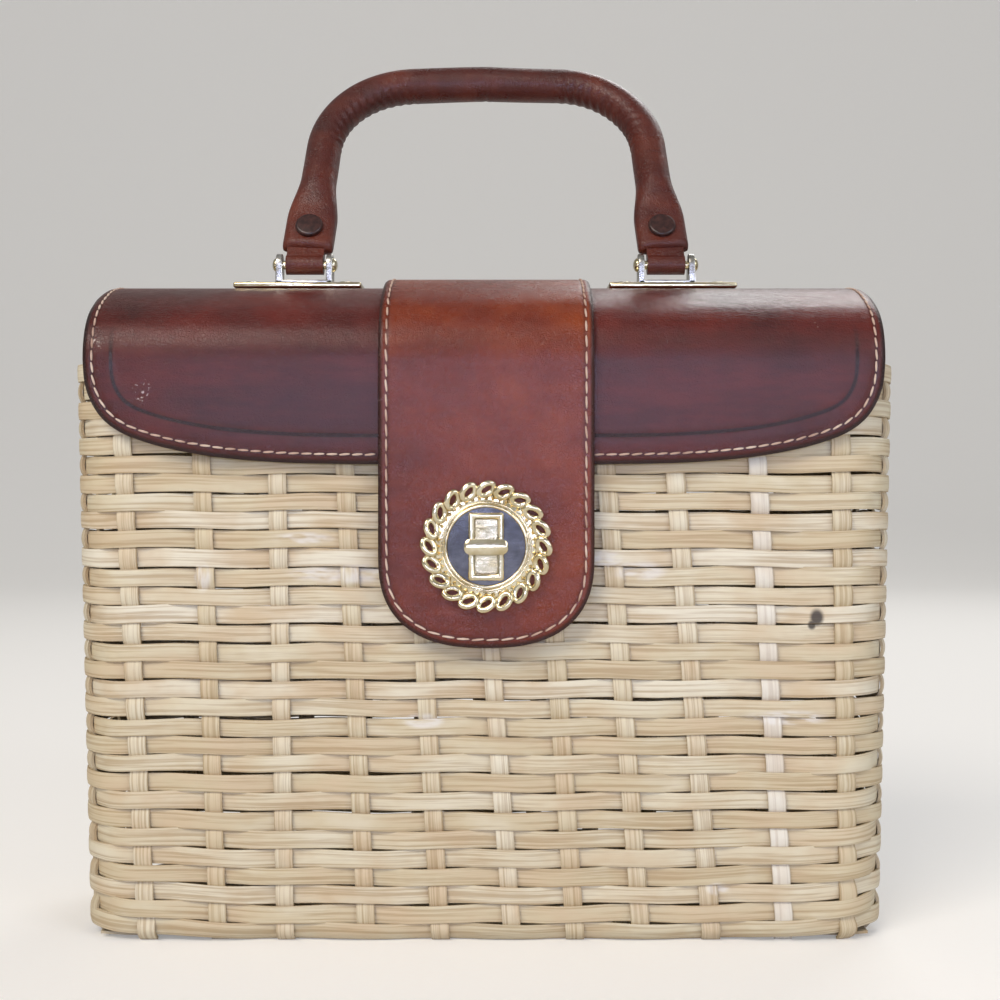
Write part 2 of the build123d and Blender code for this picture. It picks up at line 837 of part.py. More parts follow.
# Handle plates, brackets, pins, their rivets and the plates inside the lid
for side_name, side in hinge_sides:
    with BuildPart() as handle_plate:
        with BuildSketch(Plane.XY.offset(crown_z)):
            with Locations((side * plate_centre, 0)):
                RectangleRounded(plate_length, plate_width, plate_width / 4)
        extrude(amount=plate_thickness)
        chamfer(handle_plate.faces().sort_by(Axis.Z)[-1].edges(), length=plate_bevel)
        lid_bore(plate_rivet_diameter, plate_rivet_places)
    save(handle_plate, "handle_plate_" + side_name)

    with BuildPart() as pin_bracket:
        with BuildSketch(Plane.YZ.offset(side * half_pins)):
            with Locations((0, pin_z)):
                Circle(ear_radius)
            with Locations((0, (pin_z + plate_top) / 2)):
                Rectangle(2 * ear_radius, pin_z - plate_top)
        extrude(amount=ear_gap / 2 + ear_thickness, both=True)
        with BuildSketch(Plane.YZ.offset(side * half_pins)):
            with Locations((0, pin_z + ear_radius)):
                Rectangle(4 * ear_radius, 2 * (pin_z + ear_radius - plate_top - bracket_base))
        extrude(amount=ear_gap / 2, both=True, mode=Mode.SUBTRACT)
        with BuildSketch(Plane.YZ.offset(side * half_pins)):
            with Locations((0, pin_z)):
                Circle(handle_pin_diameter / 2)
        extrude(amount=ear_gap, both=True, mode=Mode.SUBTRACT)
    save(pin_bracket, "pin_bracket_" + side_name)

    head_start = ear_gap / 2 + ear_thickness
    with BuildPart() as handle_pin:
        with BuildSketch(Plane.YZ.offset(side * half_pins)):
            with Locations((0, pin_z)):
                Circle(handle_pin_diameter / 2)
        extrude(amount=head_start, both=True)
        for end in (-1, 1):
            with BuildSketch(Plane.YZ.offset(side * half_pins + end * head_start)):
                with Locations((0, pin_z)):
                    Circle(pin_head_diameter / 2)
            extrude(amount=end * pin_head_height, taper=pin_head_slope)
    save(handle_pin, "handle_pin_" + side_name)

lining_crown = crown_z - leather - shell - lining
lining_radius = crown_radius - leather - shell - lining
plate_drop = lining_radius - sqrt(lining_radius**2 - (plate_width / 2) ** 2)
reinforcement_top = lining_crown - plate_drop
for side_name, side in hinge_sides:
    with BuildPart() as inner_plate:
        with BuildSketch(Plane.XY.offset(reinforcement_top - reinforcement)):
            with Locations((side * plate_centre, 0)):
                Rectangle(plate_length, plate_width)
        extrude(amount=reinforcement)
        lid_bore(plate_rivet_diameter, plate_rivet_places)
    save(inner_plate, "reinforcement_plate_" + side_name)

rivet_low = reinforcement_top - reinforcement
with BuildPart() as plate_rivets:
    for low, high, diameter in (
        (rivet_low, plate_top, plate_rivet_diameter),
        (plate_top, plate_top + rivet_head_height, plate_rivet_head),
        (rivet_low - rivet_head_height, rivet_low, plate_rivet_head),
    ):
        with BuildSketch(Plane.XY.offset(low)):
            with Locations(*plate_rivet_places):
                Circle(diameter / 2)
        extrude(amount=high - low)
save(plate_rivets, "plate_rivets")

# Hinges at the back: a leaf on the basket, a curved leaf on the lid and a pin
barrel_y = lid_half_span + hinge_barrel_gap + hinge_barrel_radius
knuckle = (hinge_width - 2 * hinge_knuckle_gap) / 3
leaf_y = half_depth + stake_proud
for side_name, side in hinge_sides:
    centre_x = side * hinge_spacing / 2
    knuckle_centres = [centre_x - knuckle - hinge_knuckle_gap, centre_x + knuckle + hinge_knuckle_gap]
    with BuildPart() as basket_leaf:
        with BuildSketch(Plane.YZ.offset(centre_x)):
            with BuildLine():
                Polyline(
                    (leaf_y, basket_height - hinge_leaf_drop),
                    (leaf_y + hinge_leaf, basket_height - hinge_leaf_drop),
                    (leaf_y + hinge_leaf, basket_height - hinge_leaf_bend),
                    (barrel_y, lid_z - hinge_barrel_radius),
                    (barrel_y, lid_z - hinge_barrel_radius * 0.4),
                    (leaf_y, basket_height - hinge_leaf_bend + hinge_leaf),
                    close=True,
                )
            make_face()
        extrude(amount=hinge_width / 2, both=True)
        with BuildSketch(Plane.YZ.offset(centre_x)):
            with Locations((barrel_y, lid_z)):
                Circle(hinge_barrel_radius + hinge_knuckle_gap)
        extrude(amount=knuckle / 2 + hinge_knuckle_gap, both=True, mode=Mode.SUBTRACT)
        for middle in knuckle_centres:
            with BuildSketch(Plane.YZ.offset(middle)):
                with Locations((barrel_y, lid_z)):
                    Circle(hinge_barrel_radius)
            extrude(amount=knuckle / 2, both=True)
        with BuildSketch(Plane.YZ.offset(centre_x)):
            with Locations((barrel_y, lid_z)):
                Circle(hinge_pin_diameter / 2)
        extrude(amount=hinge_width, both=True, mode=Mode.SUBTRACT)
        front_bore(hinge_rivet_diameter, half_depth, half_depth + cut_reach, basket_hinge_rivet_places)
    save(basket_leaf, "hinge_basket_leaf_" + side_name)

    with BuildPart() as lid_leaf:
        middle_angle = (hinge_lid_leaf_start + hinge_lid_leaf_angle) / 2
        leaf_angles = (hinge_lid_leaf_start, middle_angle, hinge_lid_leaf_angle)
        under = [shoulder_point(shoulder_radius, angle) for angle in leaf_angles]
        over = [shoulder_point(shoulder_radius + hinge_leaf, angle) for angle in leaf_angles]
        with BuildSketch(Plane.YZ.offset(centre_x)):
            with BuildLine():
                ThreePointArc(*under)
                ThreePointArc(*over)
                Line(under[0], over[0])
                Line(under[2], over[2])
            make_face()
        extrude(amount=hinge_width / 2, both=True)
        with BuildSketch(Plane.YZ.offset(centre_x)):
            with Locations((barrel_y, lid_z)):
                Circle(hinge_barrel_radius)
            with BuildLine():
                Polyline(
                    (barrel_y - hinge_barrel_radius * 0.8, lid_z + hinge_barrel_radius * 0.4),
                    (barrel_y, lid_z + hinge_barrel_radius * 0.5),
                    (barrel_y, lid_z + hinge_barrel_radius * 0.98),
                    over[1],
                    under[0],
                    close=True,
                )
            make_face()
        extrude(amount=knuckle / 2, both=True)
        with BuildSketch(Plane.YZ.offset(centre_x)):
            with Locations((barrel_y, lid_z)):
                Circle(hinge_pin_diameter / 2 + hinge_pin_gap)
        extrude(amount=hinge_width, both=True, mode=Mode.SUBTRACT)
        arch_wall(0.0, -half_lid, half_lid, Mode.SUBTRACT)
        lid_rivets(hinge_rivet_diameter, 0.0, 2 * shoulder_radius, centre_x, Mode.SUBTRACT)
    save(lid_leaf, "hinge_lid_leaf_" + side_name)

    with BuildPart() as hinge_pin:
        with BuildSketch(Plane.YZ.offset(centre_x)):
            with Locations((barrel_y, lid_z)):
                Circle(hinge_pin_diameter / 2)
        extrude(amount=hinge_width / 2 + hinge_pin_proud, both=True)
    save(hinge_pin, "hinge_pin_" + side_name)

hoop_inner = inner_wall_y - hoop_thickness
with BuildPart() as hinge_rivets:
    for diameter, y_from, y_to in (
        (hinge_rivet_diameter, hoop_inner, leaf_y + hinge_leaf),
        (hinge_rivet_head, hoop_inner - rivet_head_height, hoop_inner),
        (hinge_rivet_head, leaf_y + hinge_leaf, leaf_y + hinge_leaf + rivet_head_height),
    ):
        front_pins(diameter, y_from, y_to, basket_hinge_rivet_places)
save(hinge_rivets, "hinge_rivets")

inner_radius = shoulder_radius - leather - shell - lining
head_seat = sqrt(inner_radius**2 - (hinge_rivet_head / 2) ** 2) - fit_gap
outer_radius = shoulder_radius + hinge_leaf
with BuildPart() as lid_hinge_rivets:
    for _, side in hinge_sides:
        centre_x = side * hinge_spacing / 2
        lid_rivets(hinge_rivet_diameter, head_seat, outer_radius, centre_x)
        lid_rivets(hinge_rivet_head, head_seat - rivet_head_height, head_seat, centre_x)
        lid_rivets(hinge_rivet_head, outer_radius, outer_radius + rivet_head_height, centre_x)
save(lid_hinge_rivets, "lid_hinge_rivets")
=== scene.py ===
# %% [markdown]
# # A woven reed box handbag
# The bag is a basket of flat reed with a domed leather lid, a stitched tab with a turn lock and a
# rolled leather handle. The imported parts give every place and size. This lesson dresses them.

# %% Load the frame
import json
import math
import random

import bmesh
import bpy
import numpy as np
from mathutils import Matrix, Vector


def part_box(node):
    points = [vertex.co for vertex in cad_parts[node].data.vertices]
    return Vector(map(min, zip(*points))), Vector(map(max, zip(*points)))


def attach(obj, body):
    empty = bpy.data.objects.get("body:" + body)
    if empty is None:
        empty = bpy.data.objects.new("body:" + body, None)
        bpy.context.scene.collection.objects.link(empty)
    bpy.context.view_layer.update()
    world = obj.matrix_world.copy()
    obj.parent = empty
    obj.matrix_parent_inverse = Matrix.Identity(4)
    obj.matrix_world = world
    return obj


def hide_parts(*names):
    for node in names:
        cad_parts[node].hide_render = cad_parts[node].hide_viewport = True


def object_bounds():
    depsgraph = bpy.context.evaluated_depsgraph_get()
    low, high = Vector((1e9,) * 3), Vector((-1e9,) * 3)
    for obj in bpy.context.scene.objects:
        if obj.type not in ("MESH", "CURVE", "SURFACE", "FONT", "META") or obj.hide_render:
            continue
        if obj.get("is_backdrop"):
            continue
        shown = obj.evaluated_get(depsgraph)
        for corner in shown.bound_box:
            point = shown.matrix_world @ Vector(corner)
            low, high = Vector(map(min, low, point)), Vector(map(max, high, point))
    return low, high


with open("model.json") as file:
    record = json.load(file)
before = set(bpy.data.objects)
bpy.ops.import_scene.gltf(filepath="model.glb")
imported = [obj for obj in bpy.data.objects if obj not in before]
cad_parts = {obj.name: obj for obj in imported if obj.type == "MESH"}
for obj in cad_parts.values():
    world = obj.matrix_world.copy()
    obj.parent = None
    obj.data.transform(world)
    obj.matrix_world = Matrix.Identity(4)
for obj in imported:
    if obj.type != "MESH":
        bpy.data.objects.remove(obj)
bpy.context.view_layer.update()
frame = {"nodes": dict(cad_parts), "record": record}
MM = 0.001
chance = random.Random(7)


# %% [markdown]
# ## Small helpers
# Colours are written as hex values, as a designer names them, and turned into the linear numbers
# that the renderer wants. One function adds a shader node with its settings and links.

# %% Colour and node helpers
def linear(hex_colour):
    """An sRGB hex colour as a linear RGBA value."""
    parts = [int(hex_colour[i:i + 2], 16) / 255 for i in (1, 3, 5)]
    return tuple(c / 12.92 if c <= 0.04045 else ((c + 0.055) / 1.055) ** 2.4 for c in parts) + (1.0,)


def node(tree, kind, values=None, links=None, **settings):
    """Add a node, set its properties and socket values, and link sockets into it."""
    made = tree.nodes.new(kind)
    for name, value in settings.items():
        setattr(made, name, value)
    for socket, value in (values or {}).items():
        made.inputs[socket].default_value = value
    for socket, source in (links or {}).items():
        tree.links.new(source, made.inputs[socket])
    return made


def new_material(name):
    """An empty material with a Principled shader on its output."""
    material = bpy.data.materials.new(name)
    material.use_nodes = True
    tree = material.node_tree
    tree.nodes.clear()
    shader = node(tree, "ShaderNodeBsdfPrincipled")
    node(tree, "ShaderNodeOutputMaterial", links={"Surface": shader.outputs["BSDF"]})
    return material, tree, shader


def ramp(tree, source, stops):
    """A colour ramp over a value: stops are (place, hex colour)."""
    made = node(tree, "ShaderNodeValToRGB", links={"Fac": source})
    elements = made.color_ramp.elements
    while len(elements) < len(stops):
        elements.new(0.5)
    for element, (place, colour) in zip(elements, stops):
        element.position = place
        element.color = linear(colour)
    return made.outputs["Color"]


def mix(tree, factor, first, second):
    """Mix two colours, given as sockets or hex colours, by a factor."""
    made = node(tree, "ShaderNodeMix", data_type="RGBA")
    for socket, value in ((0, factor), (6, first), (7, second)):
        if isinstance(value, str):
            made.inputs[socket].default_value = linear(value)
        elif isinstance(value, (int, float)):
            made.inputs[socket].default_value = value
        else:
            tree.links.new(value, made.inputs[socket])
    return made.outputs[2]


def math_node(tree, operation, first, second=0.0):
    """A maths node on sockets or numbers."""
    made = node(tree, "ShaderNodeMath", operation=operation)
    for place, value in enumerate((first, second)):
        if isinstance(value, (int, float)):
            made.inputs[place].default_value = value
        else:
            tree.links.new(value, made.inputs[place])
    return made.outputs[0]


def band(tree, source, low, high, out_low=0.0, out_high=1.0):
    """Map a value smoothly from one range to another."""
    made = node(tree, "ShaderNodeMapRange", {"From Min": low, "From Max": high, "To Min": out_low,
                                             "To Max": out_high}, {"Value": source},
                interpolation_type="SMOOTHSTEP")
    return made.outputs["Result"]


def noise(tree, vector, scale, detail=3.0, roughness=0.5, stretch=(1, 1, 1)):
    """Noise at a scale in waves per metre, stretched along its axes."""
    mapped = node(tree, "ShaderNodeMapping", {"Scale": stretch}, {"Vector": vector})
    made = node(tree, "ShaderNodeTexNoise", {"Scale": scale, "Detail": detail, "Roughness": roughness},
                {"Vector": mapped.outputs["Vector"]})
    return made.outputs["Fac"]


def bump(tree, height, distance, strength=1.0, below=None):
    """Bump from a height, in metres of distance, on top of another bump."""
    links = {"Height": height}
    if below is not None:
        links["Normal"] = below
    made = node(tree, "ShaderNodeBump", {"Distance": distance, "Strength": strength}, links)
    return made.outputs["Normal"]


# %% [markdown]
# ## Sheets from a grid
# Leather and reed start flat, so each piece starts as Blender's grid primitive. Its points are then
# laid where the real sheet lies, and modifiers give it its thickness.

# %% Mesh helpers
def only(obj):
    """Select one object and make it active."""
    bpy.ops.object.select_all(action="DESELECT")
    obj.select_set(True)
    bpy.context.view_layer.objects.active = obj


def grid_sheet(name, places, size_u, size_v):
    """A grid primitive laid on places[v][u] in mm, with a UV map in metres."""
    rows, columns = places.shape[0], places.shape[1]
    bpy.ops.object.select_all(action="DESELECT")
    bpy.ops.mesh.primitive_grid_add(x_subdivisions=columns - 1, y_subdivisions=rows - 1, size=1)
    sheet = bpy.context.object
    sheet.name = name
    sheet.data.vertices.foreach_set("co", (places * MM).astype(np.float32).ravel())
    uv = sheet.data.uv_layers[0].data
    flat = np.empty(len(uv) * 2, dtype=np.float32)
    uv.foreach_get("uv", flat)
    flat = flat.reshape(-1, 2) * (size_u * MM, size_v * MM)
    uv.foreach_set("uv", flat.ravel())
    sheet.data.update()
    return sheet


def apply_modifier(obj, kind, **settings):
    """Add a modifier, set it and apply it."""
    only(obj)
    modifier = obj.modifiers.new(kind.title(), kind)
    for name, value in settings.items():
        setattr(modifier, name, value)
    bpy.ops.object.modifier_apply(modifier=modifier.name)


def weld(obj, distance=0.00002):
    """Merge the points that lie together."""
    only(obj)
    bpy.ops.object.mode_set(mode="EDIT")
    bpy.ops.mesh.select_all(action="SELECT")
    bpy.ops.mesh.remove_doubles(threshold=distance)
    bpy.ops.object.mode_set(mode="OBJECT")


def outwards(obj):
    """Turn every face of a closed mesh outwards."""
    only(obj)
    bpy.ops.object.mode_set(mode="EDIT")
    bpy.ops.mesh.select_all(action="SELECT")
    bpy.ops.mesh.normals_make_consistent(inside=False)
    bpy.ops.object.mode_set(mode="OBJECT")


def smooth(obj, angle=40.0):
    """Shade smooth, with edges sharper than an angle kept."""
    only(obj)
    bpy.ops.object.shade_smooth_by_angle(angle=math.radians(angle))


def join(objects, name):
    """Join pieces into one object."""
    bpy.ops.object.select_all(action="DESELECT")
    for obj in objects:
        obj.select_set(True)
    bpy.context.view_layer.objects.active = objects[0]
    bpy.ops.object.join()
    objects[0].name = name
    return objects[0]


def closed_sheet(name, outer, inner, values, size_u, size_v):
    """A sheet with a front and a back surface, closed all round its edge, with point attributes."""
    around = np.concatenate([outer, inner[:, ::-1], outer[:, :1]], axis=1)
    middle = (outer + inner) / 2
    ends = np.concatenate([middle, middle[:, ::-1], middle[:, :1]], axis=1)
    places = np.concatenate([ends[:1], around, ends[-1:]], axis=0)
    sheet = grid_sheet(name, places, 2 * size_u, size_v)
    for layer, numbers in values.items():
        wide = np.concatenate([numbers, numbers[:, ::-1], numbers[:, :1]], axis=1)
        attribute(sheet, layer, np.concatenate([wide[:1], wide, wide[-1:]], axis=0).ravel())
    weld(sheet, 0.000004)
    outwards(sheet)
    return sheet


def attribute(obj, name, values):
    """A point attribute, one number for each vertex."""
    layer = obj.data.attributes.new(name, "FLOAT", "POINT")
    layer.data.foreach_set("value", np.asarray(values, dtype=np.float32))


def dress(obj, material, body, *nodes, slot=None):
    """Give a piece its finish and its body, and hide the parts it stands for. The slot argument is not used.
    """
    obj.data.materials.clear()
    obj.data.materials.append(material)
    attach(obj, body)
    if nodes:
        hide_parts(*nodes)
    print(obj.name, "faces", len(obj.data.polygons))


# %% [markdown]
# ## Sizes
# The basket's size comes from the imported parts. The weave's own sizes are those of quarter inch flat
# reed: strips about 6 mm wide and 1 mm thick.

# %% Basket sizes
RIM_WIDTH = 281.0
BASE_WIDTH = 272.0
DEPTH = 90.0
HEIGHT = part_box("basket_wall")[1][2] / MM
CORNER = 20.0
ROWS = 31
STAKES = 30
PITCH = HEIGHT / ROWS
# The reed: its thickness, how far it waves to each side, and how deep its middle lies in the wall
REED = 1.0
WAVE = 0.85
MIDDLE_DEPTH = 1.55
ROW_WIDTH = 5.9
STAKE_WIDTH = 6.3
# Stakes on the front, as they stand in the wall: X in mm near the rim and near the base
FRONT_HIGH = (-120, -94, -69, -46, -23, -1.5, 20.5, 41.5, 64.5, 92, 119.5)
FRONT_LOW = (-113, -89, -66.5, -39.5, -15, 9, 30, 52, 75.5, 100, 122)
HIGH_Z, LOW_Z = 148.0, 8.0
HALF_FRONT = RIM_WIDTH / 2 - CORNER
SIDE = DEPTH - 2 * CORNER
ARC = CORNER * math.pi / 2
AROUND = 2 * (2 * HALF_FRONT + SIDE) + 4 * ARC
print("row pitch mm", round(PITCH, 2), "around mm", round(AROUND, 1))


def taper(z):
    """How much narrower each side is at a height than at the rim."""
    return (RIM_WIDTH - BASE_WIDTH) / 2 * (1 - z / HEIGHT)


def wall_point(s, z, out):
    """Points of the wall: s runs round from the middle of the front, out is outwards."""
    s = (s + AROUND / 2) % AROUND - AROUND / 2
    side = np.sign(s)
    s = np.abs(s)
    turn = (np.clip((s - HALF_FRONT) / CORNER, 0, math.pi / 2)
            + np.clip((s - HALF_FRONT - ARC - SIDE) / CORNER, 0, math.pi / 2))
    nx, ny = np.sin(turn), -np.cos(turn)
    front = np.minimum(s, HALF_FRONT)
    along = np.clip(s - HALF_FRONT - ARC, 0, SIDE)
    back = np.clip(s - HALF_FRONT - 2 * ARC - SIDE, 0, None)
    narrow = taper(z)
    half = HALF_FRONT - narrow
    x = front * half / HALF_FRONT - back * half / HALF_FRONT + CORNER * nx
    y = -SIDE / 2 + along + CORNER * ny
    return np.stack([side * (x + nx * out), y + ny * out, z * np.ones_like(s)], axis=-1)


def stake_places(z):
    """Where the stakes stand round the wall at a height, in order from the front's left end."""
    share = (z - LOW_Z) / (HIGH_Z - LOW_Z)
    stretch = HALF_FRONT / (HALF_FRONT - taper(z))
    front = (np.array(FRONT_LOW) + (np.array(FRONT_HIGH) - np.array(FRONT_LOW)) * share) * stretch
    count = STAKES - len(front)
    gap = (AROUND - (front[-1] - front[0])) / (count + 1)
    rest = front[-1] + gap * np.arange(1, count + 1)
    return np.concatenate([front, rest])


def stake_phase(s, z):
    """Which stake a place is at, as a running number that is whole on each stake."""
    places = stake_places(z)
    ring = np.concatenate([places - AROUND, places, places + AROUND])
    order = np.arange(-STAKES, 2 * STAKES)
    return np.interp(s, ring, order)


def foot_curl(z):
    """The lowest row curls in under the basket."""
    return -4.0 * np.clip(1 - z / 5.0, 0, 1) ** 2


# %% [markdown]
# ## The weave
# Each row is one long strip that runs round the basket, over one stake and under the next. On the
# object the strip bends as it passes, so its line is a wave whose length is two stakes. The stakes
# wave the other way. Every strip is its own grid, laid on that wave and given the reed's thickness.

# %% Weave the rows
SAMPLES = STAKES * 12


def sweep_up(s, z):
    """Rows climb towards the corners near the base, as the basket was pulled tight there."""
    low = np.clip(1 - z / 60.0, 0, 1)
    return 4.0 * low * np.clip((np.abs(s) - 60) / 75.0, 0, 1) ** 2


def wander(s, seed, size):
    """A slow random drift along a strip."""
    dice = random.Random(seed)
    total = np.zeros_like(s)
    for wave in (1, 2, 3, 5, 8):
        total += size / wave**0.5 * np.sin(2 * math.pi * wave * s / AROUND + dice.uniform(0, 6.28))
    return total


rows = []
for row in range(ROWS):
    s = np.linspace(-AROUND / 2, AROUND / 2, SAMPLES + 1)
    base_z = (row + 0.5) * PITCH
    phase = stake_phase(s, base_z)
    over = np.cos(math.pi * (phase + row))
    swing = np.sign(over) * np.abs(over) ** 0.75
    centre = base_z + sweep_up(np.where(np.abs(s) < AROUND / 4, s, 0), base_z) * (1 - base_z / HEIGHT)
    centre = centre + wander(s, 100 + row, 0.22) + 0.25 * np.sin(math.pi * phase)
    width = ROW_WIDTH * (1 + 0.03 * wander(s, 300 + row, 1.0)) * (1 - 0.07 * np.clip(-over, 0, 1))
    lines = []
    for across, crown in ((-0.5, 0.0), (-0.25, 0.2), (0.25, 0.2), (0.5, 0.0)):
        z = centre + across * width
        z = np.clip(z, 0.6, HEIGHT - 0.2)
        lines.append(wall_point(s, z, -MIDDLE_DEPTH - WAVE * swing + crown + foot_curl(z)))
    strip = grid_sheet("row", np.array(lines)[:, ::-1], AROUND, width.mean())
    attribute(strip, "tone", [chance.random()] * len(strip.data.vertices))
    rows.append(strip)
reed_rows = join(rows, "reed_rows")
apply_modifier(reed_rows, "SOLIDIFY", thickness=REED * MM, offset=0.0)
smooth(reed_rows, 60)

# %% [markdown]
# ## The stakes
# The stakes are the uprights that the rows go round. They could be straight bars hidden by the rows,
# but on the object they bend too, and the eye sees each one come forward where the row goes behind.
# So they are strips on the same wave, half a wave later. Each tone is a number that the reed's
# material reads, and one stake near the right of the front is bleached, with a tone past the others.

# %% Weave the stakes
BLEACHED_STAKE, BLEACHED_TONE = 9, 1.6
stakes = []
for number in range(STAKES):
    z = np.linspace(0.4, HEIGHT - 0.4, ROWS * 6 + 1)
    s = np.array([stake_places(height)[number] for height in z])
    over = np.cos(math.pi * ((z / PITCH - 0.5) + number))
    swing = np.sign(over) * np.abs(over) ** 0.75
    width = STAKE_WIDTH * chance.uniform(0.94, 1.04)
    lines = []
    for across, crown in ((-0.5, 0.0), (-0.25, 0.15), (0.25, 0.15), (0.5, 0.0)):
        lines.append(wall_point(s + across * width, z, -MIDDLE_DEPTH + WAVE * swing + crown + foot_curl(z)))
    strip = grid_sheet("stake", np.array(lines), HEIGHT, width)
    tone = BLEACHED_TONE if number == BLEACHED_STAKE else chance.random()
    attribute(strip, "tone", [tone] * len(strip.data.vertices))
    stakes.append(strip)
reed_stakes = join(stakes, "reed_stakes")
apply_modifier(reed_stakes, "SOLIDIFY", thickness=REED * MM, offset=0.0)
smooth(reed_stakes, 60)


# %% [markdown]
# ## Reed
# Flat reed is the core of rattan, split and left bare. It is straw coloured and dull, with fine
# darker fibre lines along each strip. Strips differ in tone, one stake is bleached nearly white, and
# a few spots are bleached or stained. The lines follow each strip through its own UV map.

# %% Reed material
def spots(tree, position, places, grow=1.0):
    """A mask that is 1 on oval spots of the front: each is (x, z, half width, half height) in mm."""
    total = None
    for x, z, half_x, half_z in places:
        shifted = node(tree, "ShaderNodeMapping", {
            "Location": (-x / half_x, 0, -z / half_z),
            "Scale": (1000 / half_x, 0, 1000 / half_z),
        }, {"Vector": position})
        length = node(tree, "ShaderNodeVectorMath", links={0: shifted.outputs["Vector"]}, operation="LENGTH")
        mask = band(tree, length.outputs["Value"], 1.2 * grow, 0.6)
        total = mask if total is None else math_node(tree, "MAXIMUM", total, mask)
    depth = node(tree, "ShaderNodeSeparateXYZ", links={0: position}).outputs["Y"]
    return math_node(tree, "MULTIPLY", total, band(tree, depth, -0.02, -0.03))


BLEACHED = (
    (-94, 122, 3, 5), (-45, 123, 20, 3.2), (52, 124, 9, 3.4), (40, 128, 6, 3), (101, 75, 14, 2.6),
    (78, 18, 4, 2.2), (-20, 74, 7, 2.6), (88, 178, 6, 2), (-60, 135, 10, 2),
)
STAINED = ((111, 108.5, 2.2, 2.8), (109.5, 106, 1.4, 1.6))


def reed_material():
    """Split rattan core: straw, matte, lined along the strip."""
    material, tree, shader = new_material("split_rattan_core")
    coords = node(tree, "ShaderNodeTexCoord")
    uv = coords.outputs["UV"]
    tone = node(tree, "ShaderNodeAttribute", attribute_name="tone").outputs["Fac"]
    # Fibre lines about 0.8 mm apart across the strip and many centimetres long
    shifted = node(tree, "ShaderNodeCombineXYZ", links={"Z": tone})
    offset = node(tree, "ShaderNodeVectorMath", {1: (3.0, 3.0, 3.0)}, {0: shifted.outputs[0]},
                  operation="MULTIPLY")
    placed = node(tree, "ShaderNodeVectorMath", {}, {0: uv, 1: offset.outputs[0]}, operation="ADD")
    fibres = noise(tree, placed.outputs[0], 1.0, 4.0, 0.6, (18, 1250, 900))
    blotch = noise(tree, placed.outputs[0], 1.0, 3.0, 0.55, (38, 90, 700))
    base = ramp(tree, tone, ((0.0, "#cdbd98"), (0.3, "#d5c9a8"), (0.6, "#dcd1b3"), (1.0, "#e4dcc4")))
    warm = mix(tree, band(tree, blotch, 0.38, 0.72), base, "#d0bb98")
    pale = mix(tree, band(tree, blotch, 0.5, 0.25, 0.0, 0.5), warm, "#e4dcc4")
    lined = mix(tree, band(tree, fibres, 0.56, 0.36, 0.0, 0.55), pale, "#a18357")
    white = math_node(tree, "MULTIPLY", band(tree, tone, 1.1, 1.5), 0.45)
    bleached = mix(tree, white, lined, "#e8e4da")
    patch = math_node(tree, "MULTIPLY", spots(tree, coords.outputs["Object"], BLEACHED),
                      band(tree, noise(tree, uv, 1.0, 2.0, 0.5, (120, 500, 1)), 0.35, 0.6))
    patched = mix(tree, math_node(tree, "MULTIPLY", patch, 0.55), bleached, "#ebe9e4")
    stain = math_node(tree, "MULTIPLY", spots(tree, coords.outputs["Object"], STAINED, 1.1), 0.9)
    stained = mix(tree, stain, patched, "#2e2620")
    # Painted shade: each strip is painted darker along both edges, where it meets the next strip.
    edge = node(tree, "ShaderNodeSeparateXYZ", links={0: uv}).outputs["Y"]
    side = math_node(tree, "ABSOLUTE", math_node(tree, "SUBTRACT", edge, ROW_WIDTH / 2 * MM))
    edge_shaded_colour = mix(tree, band(tree, side, 0.0024, 0.0031, 0.0, 0.45), stained, "#8d744c")
    tree.links.new(edge_shaded_colour, shader.inputs["Base Color"])
    shader.inputs["Roughness"].default_value = 0.52
    shader.inputs["IOR"].default_value = 1.5
    relief = bump(tree, fibres, 0.00025, 0.6)
    tree.links.new(relief, shader.inputs["Normal"])
    return material


reed = reed_material()
dress(reed_rows, reed, "basket", "basket_wall", slot="reed")
dress(reed_stakes, reed, "basket", slot="reed")

# %% [markdown]
# ## The base
# The stakes turn in under the basket and are woven with long strips there, the same way as the
# walls. It is seen only from below and from inside, so it keeps to one plain weave: long lanes along
# the basket, and the stakes across them.

# %% Weave the base
LANES, LANE_WIDTH = 12, 6.0
CROSS_GAP = 23.6
BASE_INSET, BASE_MIDDLE, BASE_WAVE = 6.5, 1.9, 0.6
half_x, half_y = BASE_WIDTH / 2 - BASE_INSET, DEPTH / 2 - BASE_INSET
lane_step = (2 * half_y - LANE_WIDTH) / (LANES - 1)
base_strips = []
for lane in range(LANES):
    x = np.linspace(-half_x, half_x, 133)
    y = (lane - (LANES - 1) / 2) * (2 * half_y - LANE_WIDTH) / (LANES - 1)
    level = BASE_MIDDLE + BASE_WAVE * np.cos(math.pi * (x / CROSS_GAP + lane))
    lines = [np.stack([x, y + a * LANE_WIDTH + 0 * x, level], axis=-1) for a in (-0.5, 0.0, 0.5)]
    base_strips.append(grid_sheet("lane", np.array(lines), 2 * half_x, LANE_WIDTH))
for cross in range(-5, 6):
    y = np.linspace(-half_y, half_y, 97)
    level = BASE_MIDDLE - BASE_WAVE * np.cos(math.pi * (y / lane_step + (LANES - 1) / 2 + cross))
    lines = [np.stack([cross * CROSS_GAP + a * STAKE_WIDTH + 0 * y, y, level], axis=-1)
             for a in (0.5, 0.0, -0.5)]
    base_strips.append(grid_sheet("cross", np.array(lines), 2 * half_y, STAKE_WIDTH))
for strip in base_strips:
    attribute(strip, "tone", [chance.random()] * len(strip.data.vertices))
reed_base = join(base_strips, "reed_base")
apply_modifier(reed_base, "SOLIDIFY", thickness=0.9 * REED * MM, offset=0.0)
smooth(reed_base, 60)
dress(reed_base, reed, "basket", "basket_base", slot="reed")

# %% [markdown]
# ## The lid's profile
# The lid is an arch seen from the end: a wide crown arc between two tight shoulder arcs. The
# leather follows it from the back edge over the top and hangs down the front as a flap. One function
# gives a place on that line, by distance from the crown.

